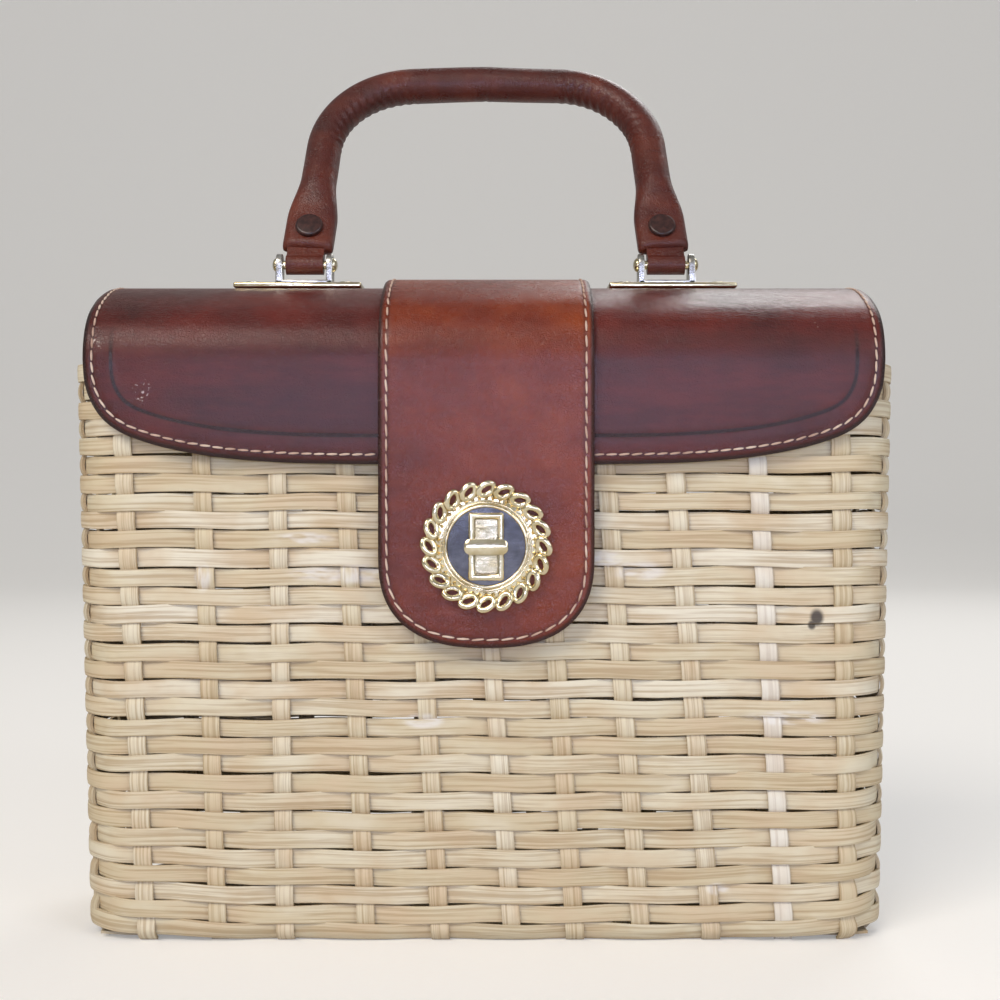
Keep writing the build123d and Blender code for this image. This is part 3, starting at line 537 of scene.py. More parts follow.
# %% Arch profile
LID_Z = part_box("lid_shell")[0][2] / MM
CROWN_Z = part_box("lid_end_leather_left")[1][2] / MM
HALF_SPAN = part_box("lid_end_leather_left")[1][1] / MM
SHOULDER = 22.0
RISE = CROWN_Z - LID_Z
CROWN = ((HALF_SPAN - SHOULDER) ** 2 + RISE**2 - SHOULDER**2) / (2 * (RISE - SHOULDER))
CROWN_MIDDLE = CROWN_Z - CROWN
TANGENT = math.atan2(HALF_SPAN - SHOULDER, LID_Z - CROWN_MIDDLE)
CROWN_ARC = CROWN * TANGENT
SHOULDER_ARC = SHOULDER * (math.pi / 2 - TANGENT)
FOOT = CROWN_ARC + SHOULDER_ARC
HALF_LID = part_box("lid_end_leather_right")[1][0] / MM
print("crown radius mm", round(CROWN, 1), "length over the arch mm", round(2 * FOOT, 1))


def arch(v, lift):
    """Y and Z in mm at a distance v from the crown towards the front, lifted off the skin."""
    side = -np.sign(v)
    v = np.abs(v)
    turn = np.minimum(v, CROWN_ARC) / CROWN
    more = np.clip(v - CROWN_ARC, 0, SHOULDER_ARC) / SHOULDER
    down = np.clip(v - FOOT, 0, None)
    on_crown = more <= 0
    angle = turn + more
    y_crown = (CROWN + lift) * np.sin(angle)
    z_crown = CROWN_MIDDLE + (CROWN + lift) * np.cos(angle)
    y_shoulder = HALF_SPAN - SHOULDER + (SHOULDER + lift) * np.sin(angle)
    z_shoulder = LID_Z + (SHOULDER + lift) * np.cos(angle)
    y = np.where(on_crown, y_crown, y_shoulder)
    z = np.where(on_crown, z_crown, z_shoulder) - down
    return side * y, z


# %% [markdown]
# ## Lid leather
# The cover is one hide: smooth, glossy, red brown. Its lower edge dips to the middle and its corners
# are round. The edge was turned in and stitched, so it is thicker there, and its colour is made darker
# within about 2 mm of it. The grid has its columns across the lid, and each column ends where the
# outline is.

# %% Flap outline
# Half of the flap's lower edge: X from the middle and drop below the lid's foot, in mm
HALF_COVER = HALF_LID - 0.1
FLAP = ((-40, 34.8), (0, 34.8), (35, 34.8), (62, 34.4), (80, 33.3), (92, 31.9), (103, 29.9), (112, 27.5),
        (120, 24.4), (126, 20.1), (130, 14.4), (132.2, 8.0), (HALF_COVER, 0.0), (HALF_COVER, -9.0))


def rounded_curve(points, steps=12):
    """A smooth curve through the points, all but the first and last of them."""
    points = np.array(points, dtype=float)
    share = np.linspace(0, 1, steps, endpoint=False)[:, None]
    pieces = []
    for a, b, c, d in zip(points, points[1:], points[2:], points[3:]):
        pieces.append(b + 0.5 * share * (c - a + share * (2 * a - 5 * b + 4 * c - d
                                                         + share * (3 * (b - c) + d - a))))
    return np.vstack(pieces + [points[-2:-1]])


flap_half = rounded_curve(FLAP)
flap_half[:, 0] = np.minimum(flap_half[:, 0], HALF_COVER)
end_line = np.stack([np.full(80, HALF_COVER), np.linspace(0, -2 * FOOT, 80)], axis=-1)
cover_half = np.vstack([flap_half, end_line]) + (0, FOOT)
cover_outline = np.vstack([cover_half[::-1] * (-1, 1), cover_half])


def distance_to(outline, x, v):
    """Shortest distance in mm from each place on a sheet to its outline."""
    dense = np.vstack([np.linspace(a, b, 6, endpoint=False) for a, b in zip(outline, outline[1:])])
    best = np.full(x.shape, 1e9)
    for px, pv in dense:
        best = np.minimum(best, (x - px) ** 2 + (v - pv) ** 2)
    return np.sqrt(best)


def soft_waves(x, v, seed, size):
    """Slow hollows and swells of a leather sheet."""
    dice = random.Random(seed)
    total = np.zeros_like(x)
    for _ in range(7):
        a, b, c = dice.uniform(-0.06, 0.06), dice.uniform(-0.12, 0.12), dice.uniform(0, 6.28)
        total += size * np.sin(a * x + b * v + c)
    return total


# %% [markdown]
# ## The cover's relief
# The distance from each point to the edge shapes the hide: it rolls over at the edge, sinks into a
# groove where the seam pulls it, and drops by a third of a millimetre inside the stiffener's edge.
# Slow waves keep the shine from looking machined. A front and a back surface are joined round the
# edge, because a Solidify modifier leaves small jagged marks on an edge that rolls as tightly.

# %% Lid leather
COLUMNS, LENGTHS = 150, 120
COVER_SEAM, PANEL_EDGE, COVER_BACK = 3.2, 9.0, -2.7
t = np.linspace(-1, 1, COLUMNS + 1)
lid_x = HALF_COVER * np.sign(t) * (1 - (1 - np.abs(t)) ** 1.6)
drop = np.interp(np.abs(lid_x), flap_half[:, 0], flap_half[:, 1])
lid_v = np.array([np.linspace(-FOOT, FOOT + d, LENGTHS + 1) for d in drop]).T
x_grid = np.tile(lid_x, (LENGTHS + 1, 1))
distance = distance_to(cover_outline, x_grid, lid_v)
roll = np.clip(1 - distance / 2.4, 0, 1)
groove = np.exp(-(((distance - COVER_SEAM - 0.1) / 0.8) ** 2))
lid_front = np.clip((lid_v - 0.8 * FOOT) / 12, 0, 1)
panel = np.clip((distance - PANEL_EDGE) / 1.6, 0, 1) * lid_front
front = np.clip((lid_v - FOOT * 0.5) / FOOT, 0, 1)
lift = -0.15 - 1.1 * roll**2.2 - 0.22 * groove - 0.3 * panel + front * soft_waves(x_grid, lid_v, 3, 0.035)
lid_y, lid_z = arch(lid_v, lift)
inner_y, inner_z = arch(lid_v, COVER_BACK)
lid_sheet = closed_sheet("lid_cover", np.stack([x_grid, lid_y, lid_z], axis=-1),
                         np.stack([x_grid, inner_y, inner_z], axis=-1),
                         {"edge": distance * MM, "front": lid_front}, 2 * HALF_LID, 200.0)
smooth(lid_sheet, 50)
print("lid cover length over the arch mm", round(2 * FOOT + FLAP[0][1], 1))

# %% [markdown]
# ## Lid end panels
# Each end of the lid is closed by a flat piece of the same leather, cut to the arch. It is stretched
# over board, so it swells by half a millimetre in its middle. Three levels of points between the
# lid's foot and the arch are enough for that.

# %% Lid end panels
END_INSET = 1.3
end_v = np.linspace(-FOOT, FOOT, 61)
end_y, end_z = arch(end_v, -END_INSET)
end_panels = {}
for side_name, side in (("left", -1), ("right", 1)):
    levels = []
    for share in (0.0, 0.5, 1.0):
        bulge = 0.5 * math.sin(math.pi * share) * np.sin(np.linspace(0, math.pi, 61))
        levels.append(np.stack([side * (HALF_LID - END_INSET + bulge), end_y,
                                LID_Z + (end_z - LID_Z) * share], axis=-1))
    end_panel = grid_sheet("lid_end_panel_" + side_name, np.array(levels), 100.0, 30.0)
    apply_modifier(end_panel, "SOLIDIFY", thickness=1.0 * MM, offset=0.0)
    outwards(end_panel)
    smooth(end_panel, 50)
    end_panels[side_name] = end_panel
print("end panels", len(end_panels))

# %% [markdown]
# ## The tab
# The tab is a second strip of thicker leather, stitched on over the lid. It keeps its width, ends in
# a rounded tongue and carries the lock. The tongue is fuller than a half circle, so its outline is a
# curve between an oval and a rectangle. The tab is made as the cover was, and the lock's slot is then
# cut with a boolean, because its corners are square and lie between the grid's lines.

# %% Tab leather
tab_low, tab_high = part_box("tab_leather")
TAB_X = (tab_low[0] + tab_high[0]) / 2 / MM
TAB_HALF = (tab_high[0] - tab_low[0]) / 2 / MM
TAB_DROP = LID_Z - tab_low[2] / MM
TAB_LIFT, TAB_BACK = 3.0, 0.15
TAB_SEAM = 2.8
# The tongue's length, how square its curve is, and how much narrower the tab is there on each side
TONGUE, TONGUE_POWER, TONGUE_IN = 30.0, 2 / 2.5, 0.4
SLOT_WIDTH, SLOT_LENGTH = 9.4, 19.9

angles = np.linspace(0, math.pi / 2, 40)
tongue_x = (TAB_HALF - TONGUE_IN) * np.sin(angles) ** TONGUE_POWER
tongue_drop = TAB_DROP - TONGUE * (1 - np.cos(angles) ** TONGUE_POWER)
tongue_half = np.stack([tongue_x, tongue_drop], axis=-1)
side_line = np.stack([np.linspace(TAB_HALF - TONGUE_IN, TAB_HALF, 90),
                      np.linspace(TAB_DROP - TONGUE, -2 * FOOT, 90)], axis=-1)
tab_half_line = np.vstack([tongue_half, side_line[1:]]) + (0, FOOT)
tab_outline = np.vstack([tab_half_line[::-1] * (-1, 1), tab_half_line])

TAB_COLUMNS, TAB_LENGTHS = 60, 160
t = np.linspace(-1, 1, TAB_COLUMNS + 1)
tab_x = (TAB_HALF - TONGUE_IN) * np.sign(t) * (1 - (1 - np.abs(t)) ** 1.7)
tab_drop = np.interp(np.abs(tab_x), tongue_half[:, 0], tongue_half[:, 1])
tab_v = np.array([np.linspace(-FOOT, FOOT + d, TAB_LENGTHS + 1) for d in tab_drop]).T
tab_grid_x = np.tile(tab_x, (TAB_LENGTHS + 1, 1))
tab_distance = distance_to(tab_outline, tab_grid_x, tab_v)
tab_roll = np.clip(1 - tab_distance / 1.8, 0, 1)
tab_groove = np.exp(-(((tab_distance - TAB_SEAM) / 0.7) ** 2))
tab_lift = TAB_LIFT - 0.1 - 0.9 * tab_roll**2.2 - 0.18 * tab_groove + soft_waves(tab_grid_x, tab_v, 5, 0.02)
tab_y, tab_z = arch(tab_v, tab_lift)
tab_inner_y, tab_inner_z = arch(tab_v, TAB_BACK)
tab_sheet = closed_sheet("tab", np.stack([tab_grid_x + TAB_X, tab_y, tab_z], axis=-1),
                         np.stack([tab_grid_x + TAB_X, tab_inner_y, tab_inner_z], axis=-1),
                         {"edge": tab_distance * MM, "front": np.zeros(tab_distance.shape)},
                         2 * TAB_HALF, 200.0)
print("tab mm", round(2 * TAB_HALF, 1), "by", round(2 * FOOT + TAB_DROP, 1))
collar_low, collar_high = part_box("slot_collar")
lock_middle = Vector(((collar_low[0] + collar_high[0]) / 2, 0, (collar_low[2] + collar_high[2]) / 2))


def cut_slot(obj):
    """Cut the lock's slot through a piece."""
    bpy.ops.object.select_all(action="DESELECT")
    bpy.ops.mesh.primitive_cube_add(size=1)
    cutter = bpy.context.object
    cutter.data.transform(Matrix.Translation(lock_middle + Vector((0, -50 * MM, 0)))
                          @ Matrix.Diagonal((SLOT_WIDTH * MM, 20 * MM, SLOT_LENGTH * MM, 1)))
    apply_modifier(obj, "BOOLEAN", operation="DIFFERENCE", solver="EXACT", object=cutter)
    bpy.data.objects.remove(cutter)


cut_slot(tab_sheet)
smooth(tab_sheet, 50)


# %% [markdown]
# ## Leather
# The hide was dyed and glazed, so it has a dark red brown body under a clear shine, with fine pores
# and creases, and lighter rubbed places. The flap's front is painted darker than the crown, as painted
# shade, and the crease of the stiffener's edge and the seam groove are dark lines of painted shade.
# Cover, tab, handle and end panels use one recipe, each with its own colours. Real pores are about
# 0.2 mm apart, too fine to show, so they are drawn 1 mm apart. Wrinkles are about 4 mm, and the slow
# creases 20 mm.

# %% Leather material
def leather_material(name, deep, body, light, edged=True, crease=False, grain=1.0, shine=0.3, scuffs=()):
    """Glazed calf leather: three tones, pores, a darker edge, a painted shade line in the seam groove, and
    painted shade on the flap's front and in its crease.
    """
    material, tree, shader = new_material(name)
    coords = node(tree, "ShaderNodeTexCoord").outputs["Object"]
    edge = node(tree, "ShaderNodeAttribute", attribute_name="edge").outputs["Fac"]
    front = node(tree, "ShaderNodeAttribute", attribute_name="front").outputs["Fac"]
    cloud = noise(tree, coords, 26.0, 5.0, 0.62)
    streak = noise(tree, coords, 70.0, 6.0, 0.68, (0.3, 1, 1.5))
    fine = noise(tree, coords, 700.0, 4.0, 0.6)
    tone = ramp(tree, cloud, ((0.3, deep), (0.5, body), (0.72, light)))
    colour = mix(tree, band(tree, streak, 0.45, 0.75, 0.0, 0.45), tone, light)
    colour = mix(tree, band(tree, fine, 0.45, 0.25, 0.0, 0.35), colour, deep)
    if crease:
        # Painted shade: the flap's front is painted darker than the crown.
        flap_shade_tone = mix(tree, band(tree, streak, 0.35, 0.7), deep, body)
        colour = mix(tree, math_node(tree, "MULTIPLY", front, 0.6), colour, flap_shade_tone)
        # Painted shade: a dark line painted along the crease at the stiffener's edge.
        off = math_node(tree, "ABSOLUTE", math_node(tree, "SUBTRACT", edge, (PANEL_EDGE + 0.5) * MM))
        line = math_node(tree, "MULTIPLY", band(tree, off, 0.0011, 0.0002), front)
        colour = mix(tree, math_node(tree, "MULTIPLY", line, 0.85), colour, "#1b0706")
    if edged:
        colour = mix(tree, band(tree, edge, 0.0022, 0.0006, 0.0, 0.85), colour, "#1c0b09")
        # Painted shade: a thin dark line painted in the seam groove, 3.1 mm in from the edge.
        near = math_node(tree, "ABSOLUTE", math_node(tree, "SUBTRACT", edge, 3.1 * MM))
        colour = mix(tree, band(tree, near, 0.0011, 0.0002, 0.0, 0.4), colour, "#260d0a")
    if scuffs:
        worn = math_node(tree, "MULTIPLY", spots(tree, coords, scuffs),
                         band(tree, noise(tree, coords, 1100.0, 2.0), 0.6, 0.68))
        colour = mix(tree, math_node(tree, "MULTIPLY", worn, 0.8), colour, "#c9b4a6")
    tree.links.new(colour, shader.inputs["Base Color"])
    shader.inputs["IOR"].default_value = 1.48
    rough = band(tree, noise(tree, coords, 150.0, 4.0, 0.6), 0.35, 0.7, shine, shine + 0.08)
    tree.links.new(rough, shader.inputs["Roughness"])
    shader.inputs["Specular IOR Level"].default_value = 0.46
    shader.inputs["Coat Weight"].default_value = 0.06
    shader.inputs["Coat Roughness"].default_value = 0.2
    pores = node(tree, "ShaderNodeTexVoronoi", {"Scale": 1000.0}, {"Vector": coords},
                 feature="DISTANCE_TO_EDGE").outputs["Distance"]
    wrinkles = noise(tree, coords, 240.0, 7.0, 0.72)
    creases = noise(tree, coords, 45.0, 3.0, 0.6, (1, 1, 2.5))
    relief = bump(tree, creases, 0.001 * grain, 0.3)
    relief = bump(tree, wrinkles, 0.0007 * grain, 0.5, relief)
    relief = bump(tree, band(tree, pores, 0.0, 0.12), 0.00012 * grain, 0.6, relief)
    tree.links.new(relief, shader.inputs["Normal"])
    return material


# Rubbed spots on the flap: X, Z, half width and half height in mm
NICKS = ((-128.5, 200, 1.6, 1.2), (-126.5, 198.5, 1.2, 0.8), (-113, 184, 3.0, 4.0), (110.5, 206, 1.2, 1.0))
lid_leather = leather_material("glazed_calf_red_brown", "#3a0f0b", "#52160f", "#681f13",
                               crease=True, shine=0.19, scuffs=NICKS)
tab_leather = leather_material("glazed_calf_tan", "#571a09", "#6d240b", "#88380f", grain=0.9, shine=0.24)
handle_leather = leather_material("rolled_calf_brown", "#34110b", "#4e1b11", "#70301a",
                                  edged=False, shine=0.27)
end_leather = leather_material("glazed_calf_end", "#3a1210", "#571e18", "#71291c", edged=False)
dress(lid_sheet, lid_leather, "lid", "lid_leather", "flap_backing", "flap_stiffener", slot="lid_leather")
dress(tab_sheet, tab_leather, "lid", "tab_leather", "tab_backing", slot="tab_leather")
for side_name, end_panel in end_panels.items():
    dress(end_panel, end_leather, "lid", "lid_end_leather_" + side_name, slot="lid_leather")

# %% [markdown]
# ## Stitching
# The cover and the tab are sewn near their edges with cream linen thread. Each stitch is a short
# rounded piece of thread that dips into its two needle holes, so one is modelled and then copied
# along the seam. The cover has a hole every 4.2 mm and the tab one every 4.9 mm, and a stitch nearly
# fills the way between two holes. Where the tab lies over the cover, the cover's stitches are left out.

# %% One stitch
bpy.ops.object.select_all(action="DESELECT")
bpy.ops.mesh.primitive_uv_sphere_add(segments=8, ring_count=6, radius=0.5)
stitch = bpy.context.object
for vertex in stitch.data.vertices:
    vertex.co.x = math.copysign(0.5 * abs(2 * vertex.co.x) ** 0.7, vertex.co.x)
stitch.data.transform(Matrix.Diagonal((MM, 0.78 * MM, 0.75 * MM, 1.0)))
smooth(stitch, 80)


def sew(name, outline, inset, pitch, length, lift, centre_x, from_v, skip=None):
    """Stitches inside an outline of (x, v) places: copies of one stitch, joined into a seam."""
    line = np.array([p for p in outline if p[1] > from_v])
    step = np.gradient(line, axis=0)
    step /= np.linalg.norm(step, axis=1)[:, None]
    inner = line + np.stack([step[:, 1], -step[:, 0]], axis=-1) * inset
    run = np.concatenate([[0], np.cumsum(np.linalg.norm(np.diff(inner, axis=0), axis=1))])
    places = np.arange(pitch / 2, run[-1], pitch)
    at, ahead = (np.stack([np.interp(stop, run, inner[:, 0]), np.interp(stop, run, inner[:, 1])], axis=-1)
                 for stop in (places, places + 0.5))
    made = []
    for (x, v), (x2, v2) in zip(at, ahead):
        if skip and skip(x, v):
            continue
        y, z = arch(np.array([v, v2, v]), np.array([lift, lift, lift + 1.0]))
        here = Vector((x + centre_x, y[0], z[0]))
        along = (Vector((x2 + centre_x, y[1], z[1])) - here).normalized()
        out = (Vector((x + centre_x, y[2], z[2])) - here).normalized()
        across = out.cross(along).normalized()
        turn = Matrix((along, across, out)).transposed().to_4x4()
        slant = Matrix.Rotation(math.radians(4 + chance.uniform(-3, 3)), 4, "Z")
        copy = stitch.copy()
        copy.data = stitch.data.copy()
        copy.data.transform(Matrix.Translation(here * MM) @ turn @ slant @ Matrix.Diagonal((length, 1, 1, 1)))
        bpy.context.collection.objects.link(copy)
        made.append(copy)
    print(name, "stitches", len(made))
    return join(made, name)


SEAM_START = -FOOT * 0.9
cover_seam = sew("cover_seam", cover_outline, COVER_SEAM, 4.2, 3.75, -0.2, 0.0, SEAM_START,
                 lambda x, v: abs(x - TAB_X) < TAB_HALF - 1)
tab_seam = sew("tab_seam", tab_outline, TAB_SEAM, 4.9, 4.4, TAB_LIFT - 0.06, TAB_X, SEAM_START)
bpy.data.objects.remove(stitch)

# %% [markdown]
# ## Thread
# The seams are waxed linen: twisted cream thread that has gone brown where it was handled. It is dull.
# The turns of its twist are under a millimetre apart and would not show, so they are drawn wider.

# %% Thread material
def thread_material():
    """Waxed linen thread: matte cream, with the turns of its twist as soft bands."""
    material, tree, shader = new_material("waxed_linen_thread")
    coords = node(tree, "ShaderNodeTexCoord").outputs["Object"]
    worn = noise(tree, coords, 90.0, 3.0)
    colour = ramp(tree, worn, ((0.25, "#9a7462"), (0.45, "#c7a893"), (0.7, "#dfcab4")))
    tree.links.new(colour, shader.inputs["Base Color"])
    shader.inputs["Roughness"].default_value = 0.7
    twist = node(tree, "ShaderNodeTexWave", {"Scale": 400.0, "Distortion": 2.0}, {"Vector": coords},
                 bands_direction="DIAGONAL").outputs["Fac"]
    tree.links.new(bump(tree, twist, 0.0001, 0.6), shader.inputs["Normal"])
    return material


thread = thread_material()
dress(cover_seam, thread, "lid", slot="lid_leather")
dress(tab_seam, thread, "lid", slot="tab_leather")

# %% [markdown]
# ## Plated metal
# The fittings are stamped brass with a thin pale gold plating, polished and a little worn. The
# brackets are nickelled steel. Plated metal is smooth, with faint cloudy wear about 6 mm wide and tiny
# scratches that only the highlights show. The medallion's field is smoked, so its colour is darker.

# %% Metal materials
def metal_material(name, pale, deep, rough, wear=1.0):
    """Plated metal with cloudy wear and fine scratches."""
    material, tree, shader = new_material(name)
    coords = node(tree, "ShaderNodeTexCoord").outputs["Object"]
    cloud = noise(tree, coords, 160.0, 4.0, 0.6)
    tree.links.new(ramp(tree, cloud, ((0.35, deep), (0.6, pale))), shader.inputs["Base Color"])
    shader.inputs["Metallic"].default_value = 1.0
    scratch = noise(tree, coords, 300.0, 5.0, 0.7, (1, 1, 6))
    tree.links.new(band(tree, scratch, 0.3, 0.7, rough, rough + 0.16 * wear), shader.inputs["Roughness"])
    tree.links.new(bump(tree, scratch, 0.00003 * wear, 0.3), shader.inputs["Normal"])
    return material


gilt = metal_material("pale_gold_plate", "#f1e7c8", "#d6c59a", 0.11, 0.8)
mirror = metal_material("smoked_nickel_mirror", "#85858c", "#6c6c73", 0.11, 0.3)
steel = metal_material("nickelled_steel", "#dcdad4", "#a9a59c", 0.2)

# %% [markdown]
# ## Medallion
# The lock's medallion is a pressed disc. Round its rim runs a curb chain of twenty twisted links,
# then a ring of small teeth, two fine rings, and a flat mirror field with the slot's raised collar.
# All of it is turned round one middle, so two helpers make a wire ring and a plate there.

# %% Medallion helpers
medal_low, medal_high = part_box("medallion")
LOCK = Vector(((medal_low[0] + medal_high[0]) / 2, 0, (medal_low[2] + medal_high[2]) / 2))
TAB_FACE = tab_low[1]
FACE = TAB_FACE - 1.3 * MM


def ring(name, radius, wire, y, segments=96, sides=10, flat=1.0):
    """A wire ring round the lock's middle that faces the front."""
    bpy.ops.object.select_all(action="DESELECT")
    bpy.ops.mesh.primitive_torus_add(major_segments=segments, minor_segments=sides, major_radius=radius * MM,
                                     minor_radius=wire * MM)
    made = bpy.context.object
    made.name = name
    made.data.transform(Matrix.Translation(LOCK + Vector((0, y, 0))) @ Matrix.Rotation(math.pi / 2, 4, "X")
                        @ Matrix.Diagonal((1, 1, flat, 1)))
    smooth(made, 60)
    return made


def disc(name, radius, y_front, y_back, bevel, segments=96):
    """A round plate with a soft edge round the lock's middle."""
    bpy.ops.object.select_all(action="DESELECT")
    bpy.ops.mesh.primitive_cylinder_add(vertices=segments, radius=radius * MM, depth=y_back - y_front)
    made = bpy.context.object
    made.name = name
    made.data.transform(Matrix.Translation(LOCK + Vector((0, (y_front + y_back) / 2, 0)))
                        @ Matrix.Rotation(math.pi / 2, 4, "X"))
    apply_modifier(made, "BEVEL", width=bevel * MM, segments=3, limit_method="ANGLE")
    smooth(made, 40)
    return made


# %% [markdown]
# ## Disc, rings and teeth
# The teeth are small four-sided points, pressed into the disc between the chain and the rings. One
# cone with four sides is modelled and copied round the middle. The field is a plate of its own,
# because it is a darker metal. It is shaded flat: smooth shading bends the reflections near its edge.

# %% Medallion disc, rings and teeth
TOOTH_COUNT, TOOTH_CIRCLE = 44, 15.9
base_disc = disc("medal_base", 17.0, FACE, TAB_FACE + 0.1 * MM, 0.3)
cut_slot(base_disc)
inner_ring = ring("medal_inner_ring", 13.3, 0.62, FACE - 0.35 * MM)
second_ring = ring("medal_second_ring", 14.5, 0.38, FACE - 0.15 * MM)
field = disc("medal_field", 12.9, FACE - 0.12 * MM, FACE + 0.3 * MM, 0.1)
cut_slot(field)
only(field)
bpy.ops.object.shade_flat()

bpy.ops.object.select_all(action="DESELECT")
bpy.ops.mesh.primitive_cone_add(vertices=4, radius1=0.95 * MM, radius2=0.1 * MM, depth=0.9 * MM)
tooth = bpy.context.object
teeth = []
for count in range(TOOTH_COUNT):
    copy = tooth.copy()
    copy.data = tooth.data.copy()
    turn = Matrix.Rotation(2 * math.pi * count / TOOTH_COUNT, 4, "Y")
    copy.data.transform(Matrix.Translation(LOCK + Vector((0, FACE - 0.35 * MM, 0))) @ turn
                        @ Matrix.Translation(Vector((0, 0, TOOTH_CIRCLE * MM)))
                        @ Matrix.Rotation(math.pi / 2, 4, "X"))
    bpy.context.collection.objects.link(copy)
    teeth.append(copy)
bpy.data.objects.remove(tooth)
teeth = join(teeth, "medal_teeth")

# %% [markdown]
# ## Curb chain
# In a curb chain each round wire link is an oval that is twisted, so that it lies over the start of
# the next one. One torus is stretched to an oval, turned on its own axis and tipped, and then copied
# round the rim.

# %% Medallion chain
LINK_COUNT, LINK_CIRCLE = 20, 18.8
LINK_LONGER, LINK_NARROWER = 0.75, 0.2
LINK_TURN, LINK_TIP = math.radians(33), math.radians(24)
bpy.ops.object.select_all(action="DESELECT")
bpy.ops.mesh.primitive_torus_add(major_segments=32, minor_segments=10, major_radius=2.0 * MM,
                                 minor_radius=1.08 * MM)
link = bpy.context.object
for vertex in link.data.vertices:
    wire_middle = Vector((vertex.co.x, vertex.co.y, 0)).normalized()
    vertex.co += Vector((wire_middle.x * LINK_LONGER, wire_middle.y * -LINK_NARROWER, 0)) * MM
smooth(link, 80)
links = []
for count in range(LINK_COUNT):
    copy = link.copy()
    copy.data = link.data.copy()
    place = (Matrix.Translation(LOCK + Vector((0, FACE - 0.75 * MM, 0)))
             @ Matrix.Rotation(2 * math.pi * count / LINK_COUNT, 4, "Y")
             @ Matrix.Translation(Vector((0, 0, LINK_CIRCLE * MM))) @ Matrix.Rotation(math.pi / 2, 4, "X"))
    twist = Matrix.Rotation(LINK_TURN, 4, "Z") @ Matrix.Rotation(LINK_TIP, 4, "X")
    copy.data.transform(place @ twist)
    bpy.context.collection.objects.link(copy)
    links.append(copy)
bpy.data.objects.remove(link)
chain = join(links, "medal_chain")
medal = join([base_disc, inner_ring, second_ring, teeth, chain], "medallion_ring")
dress(medal, gilt, "lid", "medallion", slot="gilt")
dress(field, mirror, "lid", slot="gilt")

# %% [markdown]
# ## Slot collar
# The collar is a stout frame round the slot, with softened edges. A plane is inset to make the frame,
# its middle face is deleted, and Solidify and Bevel give it its body.

# %% Slot collar
COLLAR_WALL, COLLAR_BODY, COLLAR_EDGE = 2.1, 2.8, 0.95
bpy.ops.object.select_all(action="DESELECT")
bpy.ops.mesh.primitive_plane_add(size=1)
collar = bpy.context.object
collar.name = "collar_frame"
width, tall = collar_high[0] - collar_low[0], collar_high[2] - collar_low[2]
collar.data.transform(Matrix.Translation(LOCK + Vector((0, collar_low[1] + 1.5 * MM, 0)))
                      @ Matrix.Rotation(math.pi / 2, 4, "X") @ Matrix.Diagonal((width, tall, 1, 1)))
bpy.ops.object.mode_set(mode="EDIT")
bpy.ops.mesh.select_all(action="SELECT")
bpy.ops.mesh.inset(thickness=COLLAR_WALL * MM)
bpy.ops.mesh.delete(type="FACE")
bpy.ops.object.mode_set(mode="OBJECT")
apply_modifier(collar, "SOLIDIFY", thickness=COLLAR_BODY * MM, offset=0.0)
apply_modifier(collar, "BEVEL", width=COLLAR_EDGE * MM, segments=6, limit_method="ANGLE")
outwards(collar)
smooth(collar, 40)
dress(collar, gilt, "lid", "slot_collar", slot="gilt")

# %% [markdown]
# ## Turn knob
# The knob is a bar with round ends on a stem. Its front face is drawn in to a ridge along the middle,
# so that its upper half catches the light and its lower half is darker. It starts as a cube: the four
# edges that run front to back are bevelled for the round ends, then the front face is inset.

# %% Turn knob
KNOB_SIZE = Vector((14.3, 3.2, 5.1)) * MM
KNOB_ROUND, STEM_RADIUS = 2.1, 2.0
knob_low, knob_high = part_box("turn_knob")
bpy.ops.object.select_all(action="DESELECT")
bpy.ops.mesh.primitive_cube_add(size=1)
knob = bpy.context.object
knob.name = "knob_bar"
knob.data.transform(Matrix.Translation(LOCK + Vector((0, knob_low[1] + 2.0 * MM, 0)))
                    @ Matrix.Diagonal((*KNOB_SIZE, 1)))
bpy.ops.object.mode_set(mode="EDIT")
work = bmesh.from_edit_mesh(knob.data)
for edge in work.edges:
    ends = [v.co for v in edge.verts]
    edge.select = abs(ends[0].y - ends[1].y) > 2.0 * MM
bmesh.update_edit_mesh(knob.data)
bpy.ops.mesh.bevel(offset=KNOB_ROUND * MM, segments=6)
bpy.ops.mesh.select_all(action="DESELECT")
work = bmesh.from_edit_mesh(knob.data)
for face in work.faces:
    face.select = face.normal.y < -0.9
bmesh.update_edit_mesh(knob.data)
bpy.ops.mesh.inset(thickness=0.3 * MM)
bpy.ops.transform.resize(value=(0.96, 1, 0.2), center_override=LOCK + Vector((0, knob_low[1] + 0.4 * MM, 0)))
bpy.ops.transform.translate(value=(0, -0.4 * MM, 0))
bpy.ops.object.mode_set(mode="OBJECT")
apply_modifier(knob, "BEVEL", width=0.25 * MM, segments=2, limit_method="ANGLE")
smooth(knob, 35)
bpy.ops.object.select_all(action="DESELECT")
bpy.ops.mesh.primitive_cylinder_add(vertices=32, radius=STEM_RADIUS * MM,
                                    depth=knob_high[1] - knob_low[1] - 3.0 * MM)
stem = bpy.context.object
stem.data.transform(Matrix.Translation(LOCK + Vector((0, (knob_low[1] + knob_high[1] + 3.0 * MM) / 2, 0)))
                    @ Matrix.Rotation(math.pi / 2, 4, "X"))
smooth(stem, 40)
knob = join([knob, stem], "knob_bar")
dress(knob, gilt, "turn_knob", "turn_knob", slot="gilt")

# %% [markdown]
# ## Handle
# The handle is leather rolled on a cord core. It is round along the arch and flattens into a tab at
# each end, where a rivet with a dark cap holds it to its loop. First comes its middle line: two legs
# that lean together, a bend on each and a nearly level top, in a plane that leans back 30 degrees.

# %% Handle line
PIN_HEAD = 2.5
PIN_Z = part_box("handle_pin_left")[0][2] / MM + PIN_HEAD
LEAN = math.radians(30)
# Half the way between the pins and between the shoulders, the shoulders' and the top's height
HALF_PINS, SHOULDER_HALF, SHOULDER_UP, TOP_UP = 65.5, 59.8, 88.0, 90.3
BEND = 35.0
END_START = 6.5


